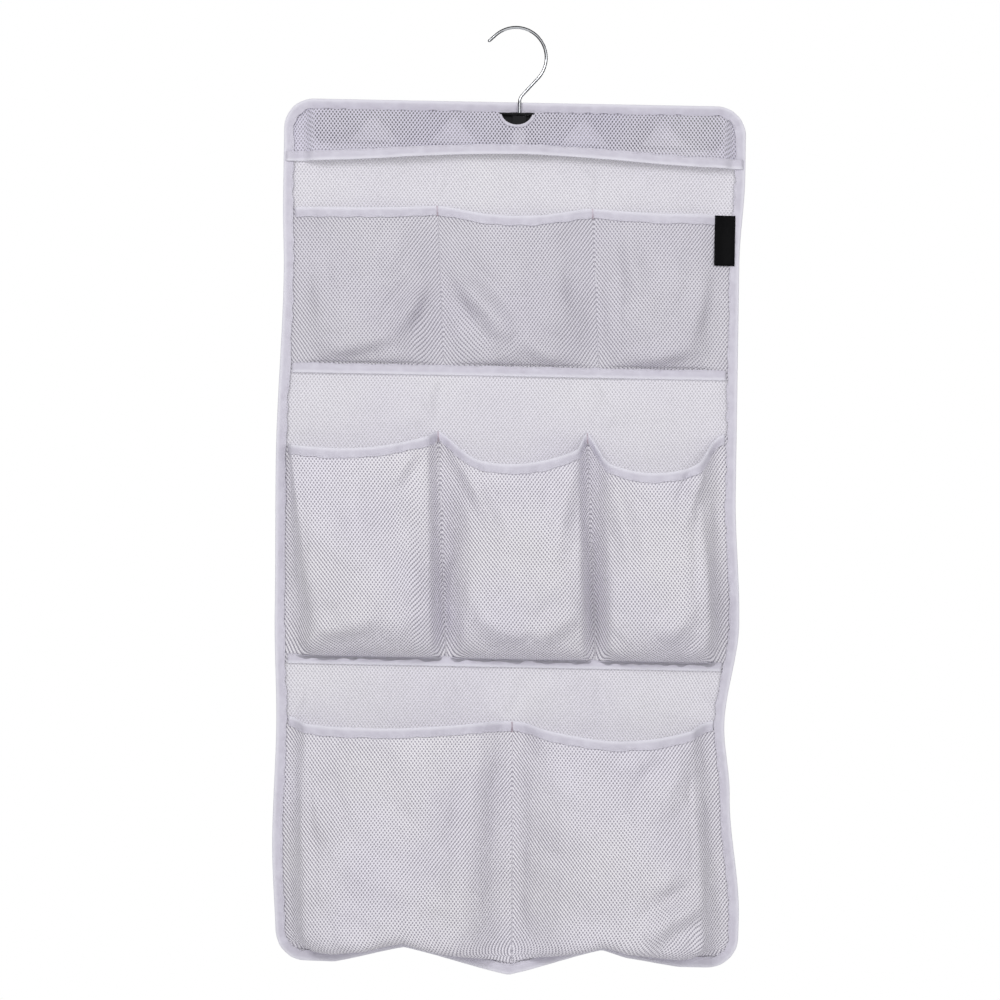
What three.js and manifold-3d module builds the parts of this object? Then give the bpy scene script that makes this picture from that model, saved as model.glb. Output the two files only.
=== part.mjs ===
// A hanging mesh organiser for a bathroom: a bound back panel of polyester mesh with
// eight pockets in three rows, a sleeve along its top, and a plastic bar hanger in the
// sleeve with a swivelling steel hook.
//
// Lengths are in millimetres. +Z is up and the pockets face -Y. The origin is the point
// under the hook's crown where the hook sits on a rail.

import * as THREE from "three";
import { mergeVertices } from "three/addons/utils/BufferGeometryUtils.js";
import Module from "manifold-3d";

const wasm = await Module();
wasm.setup();

// Cloth, tape and thread
const meshThickness = 0.6;
const panelThickness = 0.8;
const tapeThickness = 0.5;
const tapeWidth = 9;
const bindingThickness = 0.6;
const bindingWidth = 9;
const threadWidth = 0.8;
const threadThickness = 0.5;
const layerGap = 0.3;
const tapeEndGap = 0.8;
const leastSlantShare = 0.6;

// Back panel, measured down from the rail
const panelDrop = 72;
const panelWidth = 450;
const panelHeight = 839;
const cornerRadius = 28;
const clothInset = 2;

// How the hanging panel departs from a flat rectangle: it leans as the bar tips in its sleeve,
// its sides sway and its foot waves. The tables list places down or across, and shares of the
// sway or the lift there.
const plumbLean = 3;
const sideSway = 9;
const leftSwayShares = [
  [0.12, -0.1], [0.2, -0.3], [0.42, 0.25], [0.6, 0.1], [0.73, -0.25], [0.86, 0], [1, -0.6],
];
const rightSwayShares = [
  [0.08, 0], [0.18, -0.5], [0.45, -0.5], [0.6, 0.1], [0.72, -1.35], [0.8, -0.65], [0.94, 0.55],
  [1, 0.45],
];
const waveReach = 160;
const footLift = 15;
const footWaveShares = [
  [-1, 0], [-0.74, -0.07], [-0.43, 0.95], [0.03, -0.72], [0.43, 1], [0.54, 0.5], [0.76, 0], [1, 0],
];

// Rows of pockets: places are measured down from the panel's top edge
const smallRowTop = 102;
const smallRowBottom = 266;
const mediumRowTop = 320;
const mediumRowBottom = 550;
const largeRowTop = 603;
const seamFlange = 4;
const seamGap = 0.6;
const sideFlange = 1.5;
const bandMargin = 2;

// Each row has its depths, its base, how far its seams lean, and the places of their tops as
// shares of the half width. Its edges list how far each pocket's top edge hangs, as shares of
// the row's hang: at the left end, at the left and right front corners and at the right end,
// and how much further the front droops between the corners. Its insets list how far in the
// left and right front corners stand, at the top and at the foot, as shares of the gusset, and
// its bow is the share of its depth that the front gains from its ends to its middle.
const smallTopDepth = 8;
const smallFullDepth = 18;
const smallBase = 36;
const smallBasePower = 1.7;
const smallFootSag = 2;
const smallCrease = 2;
const smallLean = 9;
const smallSeamShares = [-0.331, 0.344];
const smallHang = 6;
const smallEdgeShares = [[0.67, 0.67, 0.17, 0, 0.17], [0, 0.5, 0.5, 0, 1], [0, 0.17, 0.5, 0.83, 0.33]];
const smallGusset = 34;
const smallInsetShares = [[0.9, 1.05, 1, 1], [1.2, 0.9, 1.2, 0.9], [1, 1, 0.9, 1.2]];
const smallBowShare = 0.07;
const smallFrontSteps = 4;
const smallBodyRows = 3;

const mediumTopDepth = 30;
const mediumFullDepth = 46;
const mediumBase = 44;
const mediumBasePower = 1.6;
const mediumFootSag = 3;
const mediumCrease = 3.5;
const mediumLean = 11;
const mediumSeamShares = [-0.311, 0.338];
const mediumHang = 30;
const mediumEdgeShares = [
  [0.57, 0.6, 0.2, 0.07, 0.27], [0.07, 0.8, 0.6, 0.03, 0.4], [0.03, 1, 0.8, 0, 0.4],
];
const mediumGusset = 20;
const mediumInsetShares = [[0.2, 1.3, 0.5, 0.6], [1.7, 1, 0.5, 0.6], [1, 0.85, 1.55, 1.1]];
const mediumBowShare = 0.3;
const mediumFrontSteps = 6;
const mediumBodyRows = 4;

const largeTopDepth = 30;
const largeFullDepth = 50;
const largeBase = 24;
const largeBasePower = 3.2;
const largeFootSag = 9;
const largeCrease = 4.5;
const largeLean = 3;
const largeSeamShares = [0.029];
const largeHang = 10;
const largeEdgeShares = [[0, 0.8, -0.1, 0.1, 0.4], [0.1, 0.1, 0.3, -0.3, 1.4]];
const largeGusset = 26;
const largeInsetShares = [[0.85, 0.85, 1.55, 2.1], [1.55, 2.1, 1.2, 1.2]];
const largeBowShare = 0.6;
const largeFrontSteps = 10;
const largeBodyRows = 4;

const flatWallShares = [0, 0.3, 0.6, 1, 1.4];
const boxWallShares = [0, 0.35, 0.7, 0.9, 1.1, 1.4, 1.9];

// Sleeve for the hanger bar
const sleeveHeight = 60;
const hemRise = 10;
const sleeveTaper = 12;
const notchShift = 2;
const notchHalfWidth = 16;
const notchDepth = 13.5;
const notchTapeWidth = 2.5;
const notchTapeThickness = 0.4;
const notchTapeTopMargin = 3.2;

// Hanger bar
const barLength = 398;
const barHeight = 33;
const barThickness = 9;
const barCorner = 10;
const barFlange = 3;
const barWeb = 2.4;
const barRib = 2.4;
const bossWidth = 13;
const bossHeight = 12;
const bossWindow = 12;
const windowHalfBase = 24;
const windowPlaceShares = [0.32, 0.71];
const windowInset = 2;
const cutOverrun = 5;

// Swivel hook and washer
const wireRadius = 1.5;
const crownRadius = 29.5;
const crownOffset = 4.4;
const crownStart = -42;
const crownEnd = 132;
const hookTip = 10.5;
const neckRadius = 10;
const boreClearance = 0.3;
const boreDepth = 6;
const chamberRadius = 3.3;
const headRadius = 2.6;
const headThickness = 1.5;
const washerRadius = 3;
const washerThickness = 0.6;

// Label sewn at the right end of the small row
const labelWidth = 20;
const labelHeight = 49;
const labelThickness = 0.8;
const labelSideInset = 8;
const labelTopDrop = 4;
const labelStandoff = 0.6;

// Steps that round the shapes
const cornerSteps = 6;
const sideSteps = 28;
const acrossSteps = 32;
const baseRows = 3;
const notchSteps = 12;
const labelColumns = 6;
const labelRows = 5;
const barCornerSteps = 4;
const turnedSides = 16;
const wireSides = 8;
const wireSteps = 48;

// Depth of the layers, front to back, with the bar in the middle
const panelFrontY = barThickness / 2 + layerGap;
const panelMidY = panelFrontY + panelThickness / 2;
const clothMidY = panelFrontY - layerGap * 2 - tapeThickness - meshThickness / 2;
const slotHalf = meshThickness / 2 + layerGap;
const panelTopZ = -panelDrop;
const panelBottomZ = panelTopZ - panelHeight;
const halfWidth = panelWidth / 2;
const barTopZ = panelTopZ - bindingWidth - layerGap * 2 - meshThickness;

const point = (x, y, z) => new THREE.Vector3(x, y, z);
const mix = THREE.MathUtils.lerp;
const radians = THREE.MathUtils.degToRad;

// Materials: colour, roughness and metalness of each finish
const meshWhite = new THREE.MeshStandardMaterial({ color: 0xeceaf2, roughness: 0.85 });
const tapeLilac = new THREE.MeshStandardMaterial({ color: 0xdcd8e6, roughness: 0.8 });
const threadPink = new THREE.MeshStandardMaterial({ color: 0xd9c6cf, roughness: 0.9 });
const barBlack = new THREE.MeshStandardMaterial({ color: 0x17171a, roughness: 0.45 });
const labelBlack = new THREE.MeshStandardMaterial({ color: 0x1b1b1f, roughness: 0.9 });
const hookChrome = new THREE.MeshStandardMaterial({ color: 0xc8cacd, roughness: 0.15, metalness: 1 });

const organiser = new THREE.Group();
const fabric = new THREE.Group();
const hanger = new THREE.Group();
hanger.position.x = crownOffset;
organiser.add(fabric, hanger);

function addPiece(group, name, geometry, material) {
  const mesh = new THREE.Mesh(geometry, material);
  mesh.name = name;
  group.add(mesh);
}

// Twice the signed volume tells which way a closed surface faces; faces are turned to point out.
function facingOut(points, triangles) {
  const volume = triangles.reduce((sum, [a, b, c]) => {
    return sum + points[a].dot(points[b].clone().cross(points[c]));
  }, 0);
  return volume < 0 ? triangles.map(([a, b, c]) => [a, c, b]) : triangles;
}

function closedGeometry(points, triangles) {
  const geometry = new THREE.BufferGeometry().setFromPoints(points);
  geometry.setIndex(facingOut(points, triangles).flat());
  return geometry;
}

function toSolid(geometry) {
  const bare = geometry.clone();
  bare.deleteAttribute("normal");
  bare.deleteAttribute("uv");
  const merged = mergeVertices(bare);
  return new wasm.Manifold(new wasm.Mesh({
    numProp: 3,
    vertProperties: new Float32Array(merged.attributes.position.array),
    triVerts: new Uint32Array(merged.index.array),
  }));
}

function toGeometry(solid) {
  const mesh = solid.getMesh();
  const geometry = new THREE.BufferGeometry();
  geometry.setAttribute("position", new THREE.BufferAttribute(new Float32Array(mesh.vertProperties), 3));
  geometry.setIndex(new THREE.BufferAttribute(new Uint32Array(mesh.triVerts), 1));
  return geometry;
}

// Drape of the hanging cloth: a small shift in the panel's own plane

// Share that a table gives at a place, with smooth changes between the places that it lists
function shareAt(shares, place) {
  const next = shares.findIndex(([listed]) => listed >= place);
  if (next < 0) return shares[shares.length - 1][1];
  if (next === 0) return shares[0][1];
  const [placeA, shareA] = shares[next - 1];
  const [placeB, shareB] = shares[next];
  return mix(shareA, shareB, THREE.MathUtils.smoothstep(place, placeA, placeB));
}

function drape(p) {
  const down = (panelTopZ - p.z) / panelHeight;
  const across = p.x / halfWidth;
  const sway = shareAt(across < 0 ? leftSwayShares : rightSwayShares, down);
  const reach = THREE.MathUtils.smoothstep(panelBottomZ + waveReach - p.z, 0, waveReach);
  const shiftX = sideSway * sway * across * Math.abs(across) + plumbLean * down;
  return point(p.x + shiftX, p.y, p.z + reach * footLift * shareAt(footWaveShares, across));
}

const drapeGrid = (grid) => grid.map((row) => row.map(drape));

// Sheets and folded tapes

// Normals of a grid's middle surface, lengthened at bends so that offset faces stay parallel.
function gridNormals(grid) {
  const cells = grid.slice(1).map((row, i) => row.slice(1).map((p, j) => {
    const down = p.clone().sub(grid[i][j]);
    const cross = row[j].clone().sub(grid[i][j + 1]);
    return cross.cross(down).normalize();
  }));
  return grid.map((row, i) => row.map((_, j) => {
    const around = [[i - 1, j - 1], [i - 1, j], [i, j - 1], [i, j]]
      .map(([a, b]) => cells[a]?.[b]).filter(Boolean);
    const mean = around.reduce((sum, n) => sum.add(n), point(0, 0, 0)).normalize();
    const slant = around.reduce((least, n) => Math.min(least, mean.dot(n)), 1);
    return mean.divideScalar(Math.max(slant, leastSlantShare));
  }));
}

function gridTriangles(rows, columns, start) {
  const at = (i, j) => start + i * columns + j;
  const triangles = [];
  for (let i = 0; i + 1 < rows; i++) {
    for (let j = 0; j + 1 < columns; j++) {
      triangles.push([at(i, j), at(i + 1, j), at(i + 1, j + 1)]);
      triangles.push([at(i, j), at(i + 1, j + 1), at(i, j + 1)]);
    }
  }
  return triangles;
}

function gridRim(rows, columns) {
  const rim = [];
  for (let j = 0; j < columns; j++) rim.push(j);
  for (let i = 1; i < rows; i++) rim.push(i * columns + columns - 1);
  for (let j = columns - 2; j >= 0; j--) rim.push((rows - 1) * columns + j);
  for (let i = rows - 2; i > 0; i--) rim.push(i * columns);
  return rim;
}

function sheetGeometry(grid, thickness) {
  const normals = gridNormals(grid);
  const rows = grid.length;
  const columns = grid[0].length;
  const layer = (side) => grid.flatMap((row, i) => row.map((p, j) => {
    return p.clone().addScaledVector(normals[i][j], side * thickness / 2);
  }));
  const points = [...layer(1), ...layer(-1)];
  const back = rows * columns;
  const front = gridTriangles(rows, columns, 0);
  const rear = gridTriangles(rows, columns, back).map(([a, b, c]) => [a, c, b]);
  const rim = gridRim(rows, columns);
  const walls = rim.flatMap((a, k) => {
    const b = rim[(k + 1) % rim.length];
    return [[a, b, b + back], [a, b + back, a + back]];
  });
  return closedGeometry(points, [...front, ...rear, ...walls]);
}

// A tape folded over an edge. Each station holds the edge point, the way into the cloth
// and the cloth's normal; slotLow and slotHigh are the slot's faces along that normal.
function foldedTape(stations, { width, wall, slotLow, slotHigh, closed = false }) {
  const low = slotLow - wall;
  const high = slotHigh + wall;
  const outer = -layerGap - wall;
  const section = [
    [outer, low], [width, low], [width, slotLow], [-layerGap, slotLow],
    [-layerGap, slotHigh], [width, slotHigh], [width, high], [outer, high],
  ];
  const points = stations.flatMap(({ edge, inward, normal }) => section.map(([along, off]) => {
    return edge.clone().addScaledVector(inward, along).addScaledVector(normal, off);
  }));
  const sides = section.length;
  const triangles = [];
  const spans = closed ? stations.length : stations.length - 1;
  for (let i = 0; i < spans; i++) {
    const here = i * sides;
    const next = ((i + 1) % stations.length) * sides;
    for (let k = 0; k < sides; k++) {
      const l = (k + 1) % sides;
      triangles.push([here + k, here + l, next + l], [here + k, next + l, next + k]);
    }
  }
  if (!closed) {
    const cap = [[0, 1, 2], [0, 2, 3], [0, 3, 4], [0, 4, 7], [4, 5, 6], [4, 6, 7]];
    const end = (stations.length - 1) * sides;
    triangles.push(...cap.map(([a, b, c]) => [a, c, b]));
    triangles.push(...cap.map(([a, b, c]) => [a + end, b + end, c + end]));
  }
  return closedGeometry(points, triangles);
}

// Outline of the panel: half widths at a height, for its edge and for its binding's inner edge

function roundedHalf(z, radius, inset) {
  const top = panelTopZ - inset;
  const bottom = panelBottomZ + inset;
  const above = z - (top - radius);
  const below = bottom + radius - z;
  const past = Math.min(radius, Math.max(0, above, below));
  return halfWidth - inset - radius + Math.sqrt(radius ** 2 - past ** 2);
}

const edgeHalf = (z) => roundedHalf(z, cornerRadius, 0);
const boundHalf = (z) => roundedHalf(z, cornerRadius - bindingWidth, bindingWidth);

// Back panel: its edge point by point, clockwise from the top left corner

function edgeHeights() {
  const corner = [...Array(cornerSteps + 1).keys()].map((k) => {
    return cornerRadius * (1 - Math.cos(Math.PI / 2 * k / cornerSteps));
  });
  const straight = panelHeight - cornerRadius * 2;
  const sides = [...Array(sideSteps - 1).keys()].map((k) => cornerRadius + straight * (k + 1) / sideSteps);
  const ends = corner.map((down) => panelHeight - down).reverse();
  return [...corner, ...sides, ...ends].map((down) => panelTopZ - down);
}

function panelEdge() {
  const heights = edgeHeights();
  const along = [...Array(acrossSteps - 1).keys()].map((k) => 2 * (k + 1) / acrossSteps - 1);
  const flat = (z) => along.map((share) => point(edgeHalf(z) * share, panelMidY, z));
  const right = heights.map((z) => point(edgeHalf(z), panelMidY, z));
  const left = heights.map((z) => point(-edgeHalf(z), panelMidY, z)).reverse();
  return [...flat(panelTopZ), ...right, ...flat(panelBottomZ).reverse(), ...left].map(drape);
}

function panelGeometry(edge) {
  const outline = new THREE.Shape(edge.map(({ x, z }) => new THREE.Vector2(x, z)));
  const geometry = new THREE.ExtrudeGeometry(outline, { depth: panelThickness, bevelEnabled: false });
  geometry.rotateX(Math.PI / 2);
  geometry.translate(0, panelMidY + panelThickness / 2, 0);
  return geometry;
}

function bindingStations(rim) {
  return rim.map((edge, k) => {
    const before = rim[(k + rim.length - 1) % rim.length];
    const after = rim[(k + 1) % rim.length];
    const run = after.clone().sub(before).normalize();
    return { edge, inward: point(run.z, 0, -run.x), normal: point(0, -1, 0) };
  });
}

const edge = panelEdge();
addPiece(fabric, "back_panel", panelGeometry(edge), meshWhite);
addPiece(fabric, "edge_binding", foldedTape(bindingStations(edge), {
  width: bindingWidth,
  wall: bindingThickness,
  slotLow: -panelThickness / 2 - layerGap,
  slotHigh: panelMidY - clothMidY + slotHalf,
  closed: true,
}), tapeLilac);

// Pockets

// Section of a pocket: share forward at a share across, for two walls that slope in by their
// insets and a bowed front, rounded into each other
function forwardAt(pocket, across, [left, right]) {
  const bow = 1 - pocket.bowShare * (1 - 4 * across * (1 - across));
  const parts = [across / left, (1 - across) / right, bow];
  return parts.reduce((sum, part) => sum + part ** -pocket.crease, 0) ** (-1 / pocket.crease);
}

// A pocket's insets at a share of the way down its body, as shares of its width
function insetsAt({ insets, gusset, span }, share) {
  return [0, 2].map((k) => mix(insets[k], insets[k + 1], share) * gusset / span);
}

// Places across a pocket's section: close together in its walls and evenly along its front
function acrossPlaces(pocket, insets) {
  const walls = insets.map((inset) => pocket.wallShares.map((share) => share * inset));
  const start = walls[0].at(-1);
  const end = 1 - walls[1].at(-1);
  const steps = pocket.frontSteps;
  const front = [...Array(steps - 1).keys()].map((k) => mix(start, end, (k + 1) / steps));
  return [...walls[0], ...front, ...walls[1].toReversed().map((place) => 1 - place)];
}

function sectionAt(pocket, share) {
  const insets = insetsAt(pocket, share);
  const middle = forwardAt(pocket, 1 / 2, insets);
  return acrossPlaces(pocket, insets).map((across) => {
    return { across, forward: forwardAt(pocket, across, insets) / middle };
  });
}

// Place of a divider seam at a height
function seamX(pocket, side, z) {
  return side.x + pocket.lean * (pocket.top - z) / (pocket.top - pocket.bottom);
}

// Ends of a pocket's cloth at a height: flat flanges outside the body, and the body's own end.
// An outer end also has a flange where the row's tape stops.
function pocketEnd(pocket, side, sign) {
  if (side.outer) {
    return {
      flanges: [
        (z) => sign * (edgeHalf(z) - clothInset),
        (z) => sign * (boundHalf(z) - tapeEndGap),
      ],
      body: (z) => sign * (boundHalf(z) - tapeEndGap - sideFlange),
    };
  }
  return {
    flanges: [(z) => seamX(pocket, side, z) - sign * seamGap / 2],
    body: (z) => seamX(pocket, side, z) - sign * seamFlange,
  };
}

function topEdgeZ(pocket, { across, forward }) {
  const [left, leftCorner, rightCorner, right, droop] = pocket.edge;
  const ends = mix(left, right, across);
  const front = mix(leftCorner, rightCorner, across) + droop * 4 * across * (1 - across);
  return pocket.top - pocket.hang * mix(ends, front, forward);
}

// Rows of a pocket's grid: a straight band for the tape, the body, the rounded base and a flange.
// Each gives the share of the way down the body, the z of a part of the section, and the depth.
function pocketRow(pocket, row) {
  const flangeTop = pocket.bottom + pocket.footFlange;
  const baseTop = flangeTop + pocket.base;
  if (row === 0) return { share: 0, z: (part, edge) => edge, depth: pocket.topDepth };
  if (row <= pocket.bodyRows + 1) {
    const share = (row - 1) / pocket.bodyRows;
    const sag = pocket.footSag * share ** 3;
    return {
      share,
      z: (part, edge) => mix(edge - tapeWidth - bandMargin, baseTop, share) - sag * part.forward,
      depth: mix(pocket.topDepth, pocket.fullDepth, THREE.MathUtils.smootherstep(share, 0, 1)),
    };
  }
  if (row <= pocket.bodyRows + 1 + baseRows) {
    const turn = Math.PI / 2 * (row - 1 - pocket.bodyRows) / baseRows;
    const depthShare = Math.abs(Math.cos(turn)) ** (2 / pocket.basePower);
    const drop = pocket.base * Math.sin(turn) ** (2 / pocket.basePower);
    return {
      share: 1,
      z: (part) => baseTop - drop - pocket.footSag * part.forward * depthShare,
      depth: pocket.fullDepth * depthShare,
    };
  }
  return { share: 1, z: () => pocket.bottom, depth: 0 };
}

function pocketGrid(pocket) {
  const left = pocketEnd(pocket, pocket.left, -1);
  const right = pocketEnd(pocket, pocket.right, 1);
  const edges = sectionAt(pocket, 0).map((part) => topEdgeZ(pocket, part));
  return [...Array(pocket.bodyRows + baseRows + 3).keys()].map((row) => {
    const { share, z, depth } = pocketRow(pocket, row);
    const body = sectionAt(pocket, share).map((part, k) => {
      const height = z(part, edges[k]);
      const x = mix(left.body(height), right.body(height), part.across);
      return point(x, clothMidY - depth * part.forward, height);
    });
    const flange = (x, beside) => point(x(beside.z), clothMidY, beside.z);
    return [
      ...left.flanges.map((x) => flange(x, body[0])),
      ...body,
      ...right.flanges.toReversed().map((x) => flange(x, body.at(-1))),
    ];
  });
}

function pocketRowOf(options, seamShares) {
  const seams = seamShares.map((share) => ({ x: halfWidth * share }));
  const sides = [{ outer: true }, ...seams, { outer: true }];
  return sides.slice(1).map((right, k) => ({
    ...options, left: sides[k], right, span: panelWidth / (sides.length - 1),
    edge: options.edges[k], insets: options.insets[k],
  }));
}

const footOnTape = tapeWidth + bandMargin;
const smallRow = pocketRowOf({
  top: panelTopZ - smallRowTop, bottom: panelTopZ - smallRowBottom, footFlange: footOnTape,
  topDepth: smallTopDepth, fullDepth: smallFullDepth, base: smallBase, basePower: smallBasePower,
  footSag: smallFootSag, crease: smallCrease, lean: smallLean, hang: smallHang,
  edges: smallEdgeShares, gusset: smallGusset, insets: smallInsetShares, bowShare: smallBowShare,
  wallShares: flatWallShares, frontSteps: smallFrontSteps, bodyRows: smallBodyRows,
}, smallSeamShares);
const mediumRow = pocketRowOf({
  top: panelTopZ - mediumRowTop, bottom: panelTopZ - mediumRowBottom, footFlange: footOnTape,
  topDepth: mediumTopDepth, fullDepth: mediumFullDepth, base: mediumBase, basePower: mediumBasePower,
  footSag: mediumFootSag, crease: mediumCrease, lean: mediumLean, hang: mediumHang,
  edges: mediumEdgeShares, gusset: mediumGusset, insets: mediumInsetShares, bowShare: mediumBowShare,
  wallShares: boxWallShares, frontSteps: mediumFrontSteps, bodyRows: mediumBodyRows,
}, mediumSeamShares);
const largeRow = pocketRowOf({
  top: panelTopZ - largeRowTop, bottom: panelBottomZ + clothInset,
  footFlange: bindingWidth - clothInset + bandMargin,
  topDepth: largeTopDepth, fullDepth: largeFullDepth, base: largeBase, basePower: largeBasePower,
  footSag: largeFootSag, crease: largeCrease, lean: largeLean, hang: largeHang,
  edges: largeEdgeShares, gusset: largeGusset, insets: largeInsetShares, bowShare: largeBowShare,
  wallShares: boxWallShares, frontSteps: largeFrontSteps, bodyRows: largeBodyRows,
}, largeSeamShares);

function addPocketRow(size, row, places) {
  row.forEach((pocket, k) => {
    const grid = drapeGrid(pocketGrid(pocket));
    addPiece(fabric, `${size}_pocket_${places[k]}`, sheetGeometry(grid, meshThickness), meshWhite);
  });
}

addPocketRow("small", smallRow, ["left", "middle", "right"]);
addPocketRow("medium", mediumRow, ["left", "middle", "right"]);
addPocketRow("large", largeRow, ["left", "right"]);

// Tapes along the rows

const rowTape = { width: tapeWidth, wall: tapeThickness, slotLow: -slotHalf, slotHigh: slotHalf };

function topTapeStations(row) {
  return row.flatMap((pocket) => {
    const grid = drapeGrid(pocketGrid(pocket));
    const normals = gridNormals(grid.slice(0, 2));
    const stations = grid[0].map((edge, j) => {
      const inward = grid[1][j].clone().sub(edge).normalize();
      return { edge, inward, normal: normals[0][j] };
    });
    return stations.slice(pocket.left.outer ? 1 : 0, pocket.right.outer ? -1 : stations.length);
  });
}

function bottomTapeStations(row) {
  const z = row[0].bottom;
  const end = boundHalf(z) - tapeEndGap;
  return [...Array(acrossSteps + 1).keys()].map((k) => ({
    edge: drape(point(end * (2 * k / acrossSteps - 1), clothMidY, z)),
    inward: point(0, 0, 1),
    normal: point(0, -1, 0),
  }));
}

addPiece(fabric, "small_row_top_tape", foldedTape(topTapeStations(smallRow), rowTape), tapeLilac);
addPiece(fabric, "small_row_bottom_tape", foldedTape(bottomTapeStations(smallRow), rowTape), tapeLilac);
addPiece(fabric, "medium_row_top_tape", foldedTape(topTapeStations(mediumRow), rowTape), tapeLilac);
addPiece(fabric, "medium_row_bottom_tape", foldedTape(bottomTapeStations(mediumRow), rowTape), tapeLilac);
addPiece(fabric, "large_row_top_tape", foldedTape(topTapeStations(largeRow), rowTape), tapeLilac);

// Seams between pockets: one line of thread that steps over the tape at each end

function seamGeometry(head, foot, footTape) {
  const top = head.z;
  const bottom = foot.z;
  const onCloth = clothMidY - slotHalf;
  const onTape = onCloth - tapeThickness - layerGap;
  const bandEnd = top - tapeWidth - bandMargin;
  const footEnd = bottom + tapeWidth + bandMargin;
  const front = [[onTape, top], [onTape, bandEnd], [onCloth, bandEnd - bandMargin]];
  const end = footTape
    ? [[onCloth, footEnd + bandMargin], [onTape, footEnd], [onTape, bottom]]
    : [[onCloth, footEnd]];
  const line = [...front, ...end];
  const section = new THREE.Shape([
    ...line.map(([y, z]) => new THREE.Vector2(y, z)),
    ...line.toReversed().map(([y, z]) => new THREE.Vector2(y - threadThickness, z)),
  ]);
  const geometry = new THREE.ExtrudeGeometry(section, { depth: threadWidth, bevelEnabled: false });
  geometry.rotateX(Math.PI / 2);
  geometry.rotateZ(Math.PI / 2);
  geometry.translate(-threadWidth / 2, 0, 0);
  const slant = (head.x - foot.x) / (top - bottom);
  const lean = new THREE.Matrix4().makeShear(0, 0, 0, 0, slant, 0);
  geometry.applyMatrix4(lean);
  geometry.translate(head.x - slant * top, 0, 0);
  return geometry;
}

function addSeams(size, row, places, footTape) {
  row.slice(0, -1).forEach((pocket, k) => {
    const [head, foot] = [pocket.top, pocket.bottom].map((z) => {
      return drape(point(seamX(pocket, pocket.right, z), 0, z));
    });
    addPiece(fabric, `${size}_row_seam${places[k]}`, seamGeometry(head, foot, footTape), threadPink);
  });
}

addSeams("small", smallRow, ["_left", "_right"], true);
addSeams("medium", mediumRow, ["_left", "_right"], true);
addSeams("large", largeRow, [""], false);

// Sleeve front: a flap that runs from the top binding over the bar and down in front of it

const sleeveFrontY = -barThickness / 2 - layerGap - notchTapeThickness - slotHalf;
const sleeveHemZ = panelTopZ - sleeveHeight;
const sleeveEnd = halfWidth - bindingWidth - tapeEndGap;

// Reach of the bar from the panel's middle, to the left or to the right
const barReach = (side) => barLength / 2 + layerGap + side * crownOffset;
const taperEnd = (side) => Math.min(barReach(side) + sleeveTaper, sleeveEnd);

const middleShares = [-1, -0.75, -0.5, -0.25, 0, 0.25, 0.5, 0.75, 1];
const taperShares = [1 / 3, 2 / 3, 1];

function sleeveColumns() {
  const middle = middleShares.map((share) => share * barReach(Math.sign(share)));
  const ends = [-1, 1].flatMap((side) => [
    halfWidth - cornerRadius,
    ...taperShares.map((share) => mix(barReach(side), taperEnd(side), share)),
    halfWidth - bindingWidth,
    halfWidth - clothInset,
  ].map((reach) => side * reach));
  return [...new Set([...middle, ...ends])].sort((a, b) => a - b);
}

// Top of the panel's edge at a reach from its middle, for a corner of some radius and inset
function cornerTop(reach, radius, inset) {
  const past = Math.min(radius, Math.max(0, reach - (halfWidth - inset - radius)));
  return panelTopZ - inset - radius + Math.sqrt(radius ** 2 - past ** 2);
}

function sleeveProfile(x) {
  const reach = Math.abs(x);
  const side = Math.sign(x);
  const bulge = 1 - THREE.MathUtils.smoothstep(reach, barReach(side), taperEnd(side));
  const top = cornerTop(reach, cornerRadius, 0) - clothInset;
  const bendInset = bindingWidth + slotHalf;
  const bend = cornerTop(reach, cornerRadius - bendInset, bendInset);
  const front = mix(clothMidY, sleeveFrontY, bulge);
  const hem = sleeveHemZ + hemRise * Math.cos(Math.PI / 2 * reach / halfWidth) ** 2;
  return [
    [clothMidY, top],
    [clothMidY, bend],
    [(clothMidY + front) / 2, bend],
    [front, bend],
    [front, (bend + hem) / 2],
    [front, hem],
  ];
}

function sleeveGrid() {
  const columns = sleeveColumns();
  const profiles = columns.map(sleeveProfile);
  return drapeGrid(profiles[0].map((_, i) => columns.map((x, j) => point(x, ...profiles[j][i]))));
}

const notchShape = new THREE.Shape();
notchShape.absellipse(0, 0, notchHalfWidth, notchDepth, Math.PI, 2 * Math.PI);
notchShape.lineTo(notchHalfWidth, bindingWidth + cutOverrun);
notchShape.lineTo(-notchHalfWidth, bindingWidth + cutOverrun);
const notchTopZ = panelTopZ - bindingWidth;

function notchCutter() {
  const depth = (panelMidY - sleeveFrontY + cutOverrun) * 2;
  const options = { depth, bevelEnabled: false, curveSegments: notchSteps };
  const cutter = new THREE.ExtrudeGeometry(notchShape, options);
  cutter.rotateX(Math.PI / 2);
  cutter.translate(notchShift, depth / 2, notchTopZ);
  return toSolid(cutter);
}

const sleeve = sleeveGrid();
const sleeveSolid = toSolid(sheetGeometry(sleeve, meshThickness)).subtract(notchCutter());
addPiece(fabric, "sleeve_front", toGeometry(sleeveSolid), meshWhite);

function hemStations() {
  const normals = gridNormals(sleeve.slice(-2));
  const columns = sleeveColumns();
  return sleeve[sleeve.length - 1].map((edge, j) => ({
    edge, inward: point(0, 0, 1), normal: normals[1][j],
  })).filter((_, j) => Math.abs(columns[j]) <= sleeveEnd);
}
addPiece(fabric, "sleeve_hem_tape", foldedTape(hemStations(), rowTape), tapeLilac);

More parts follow.
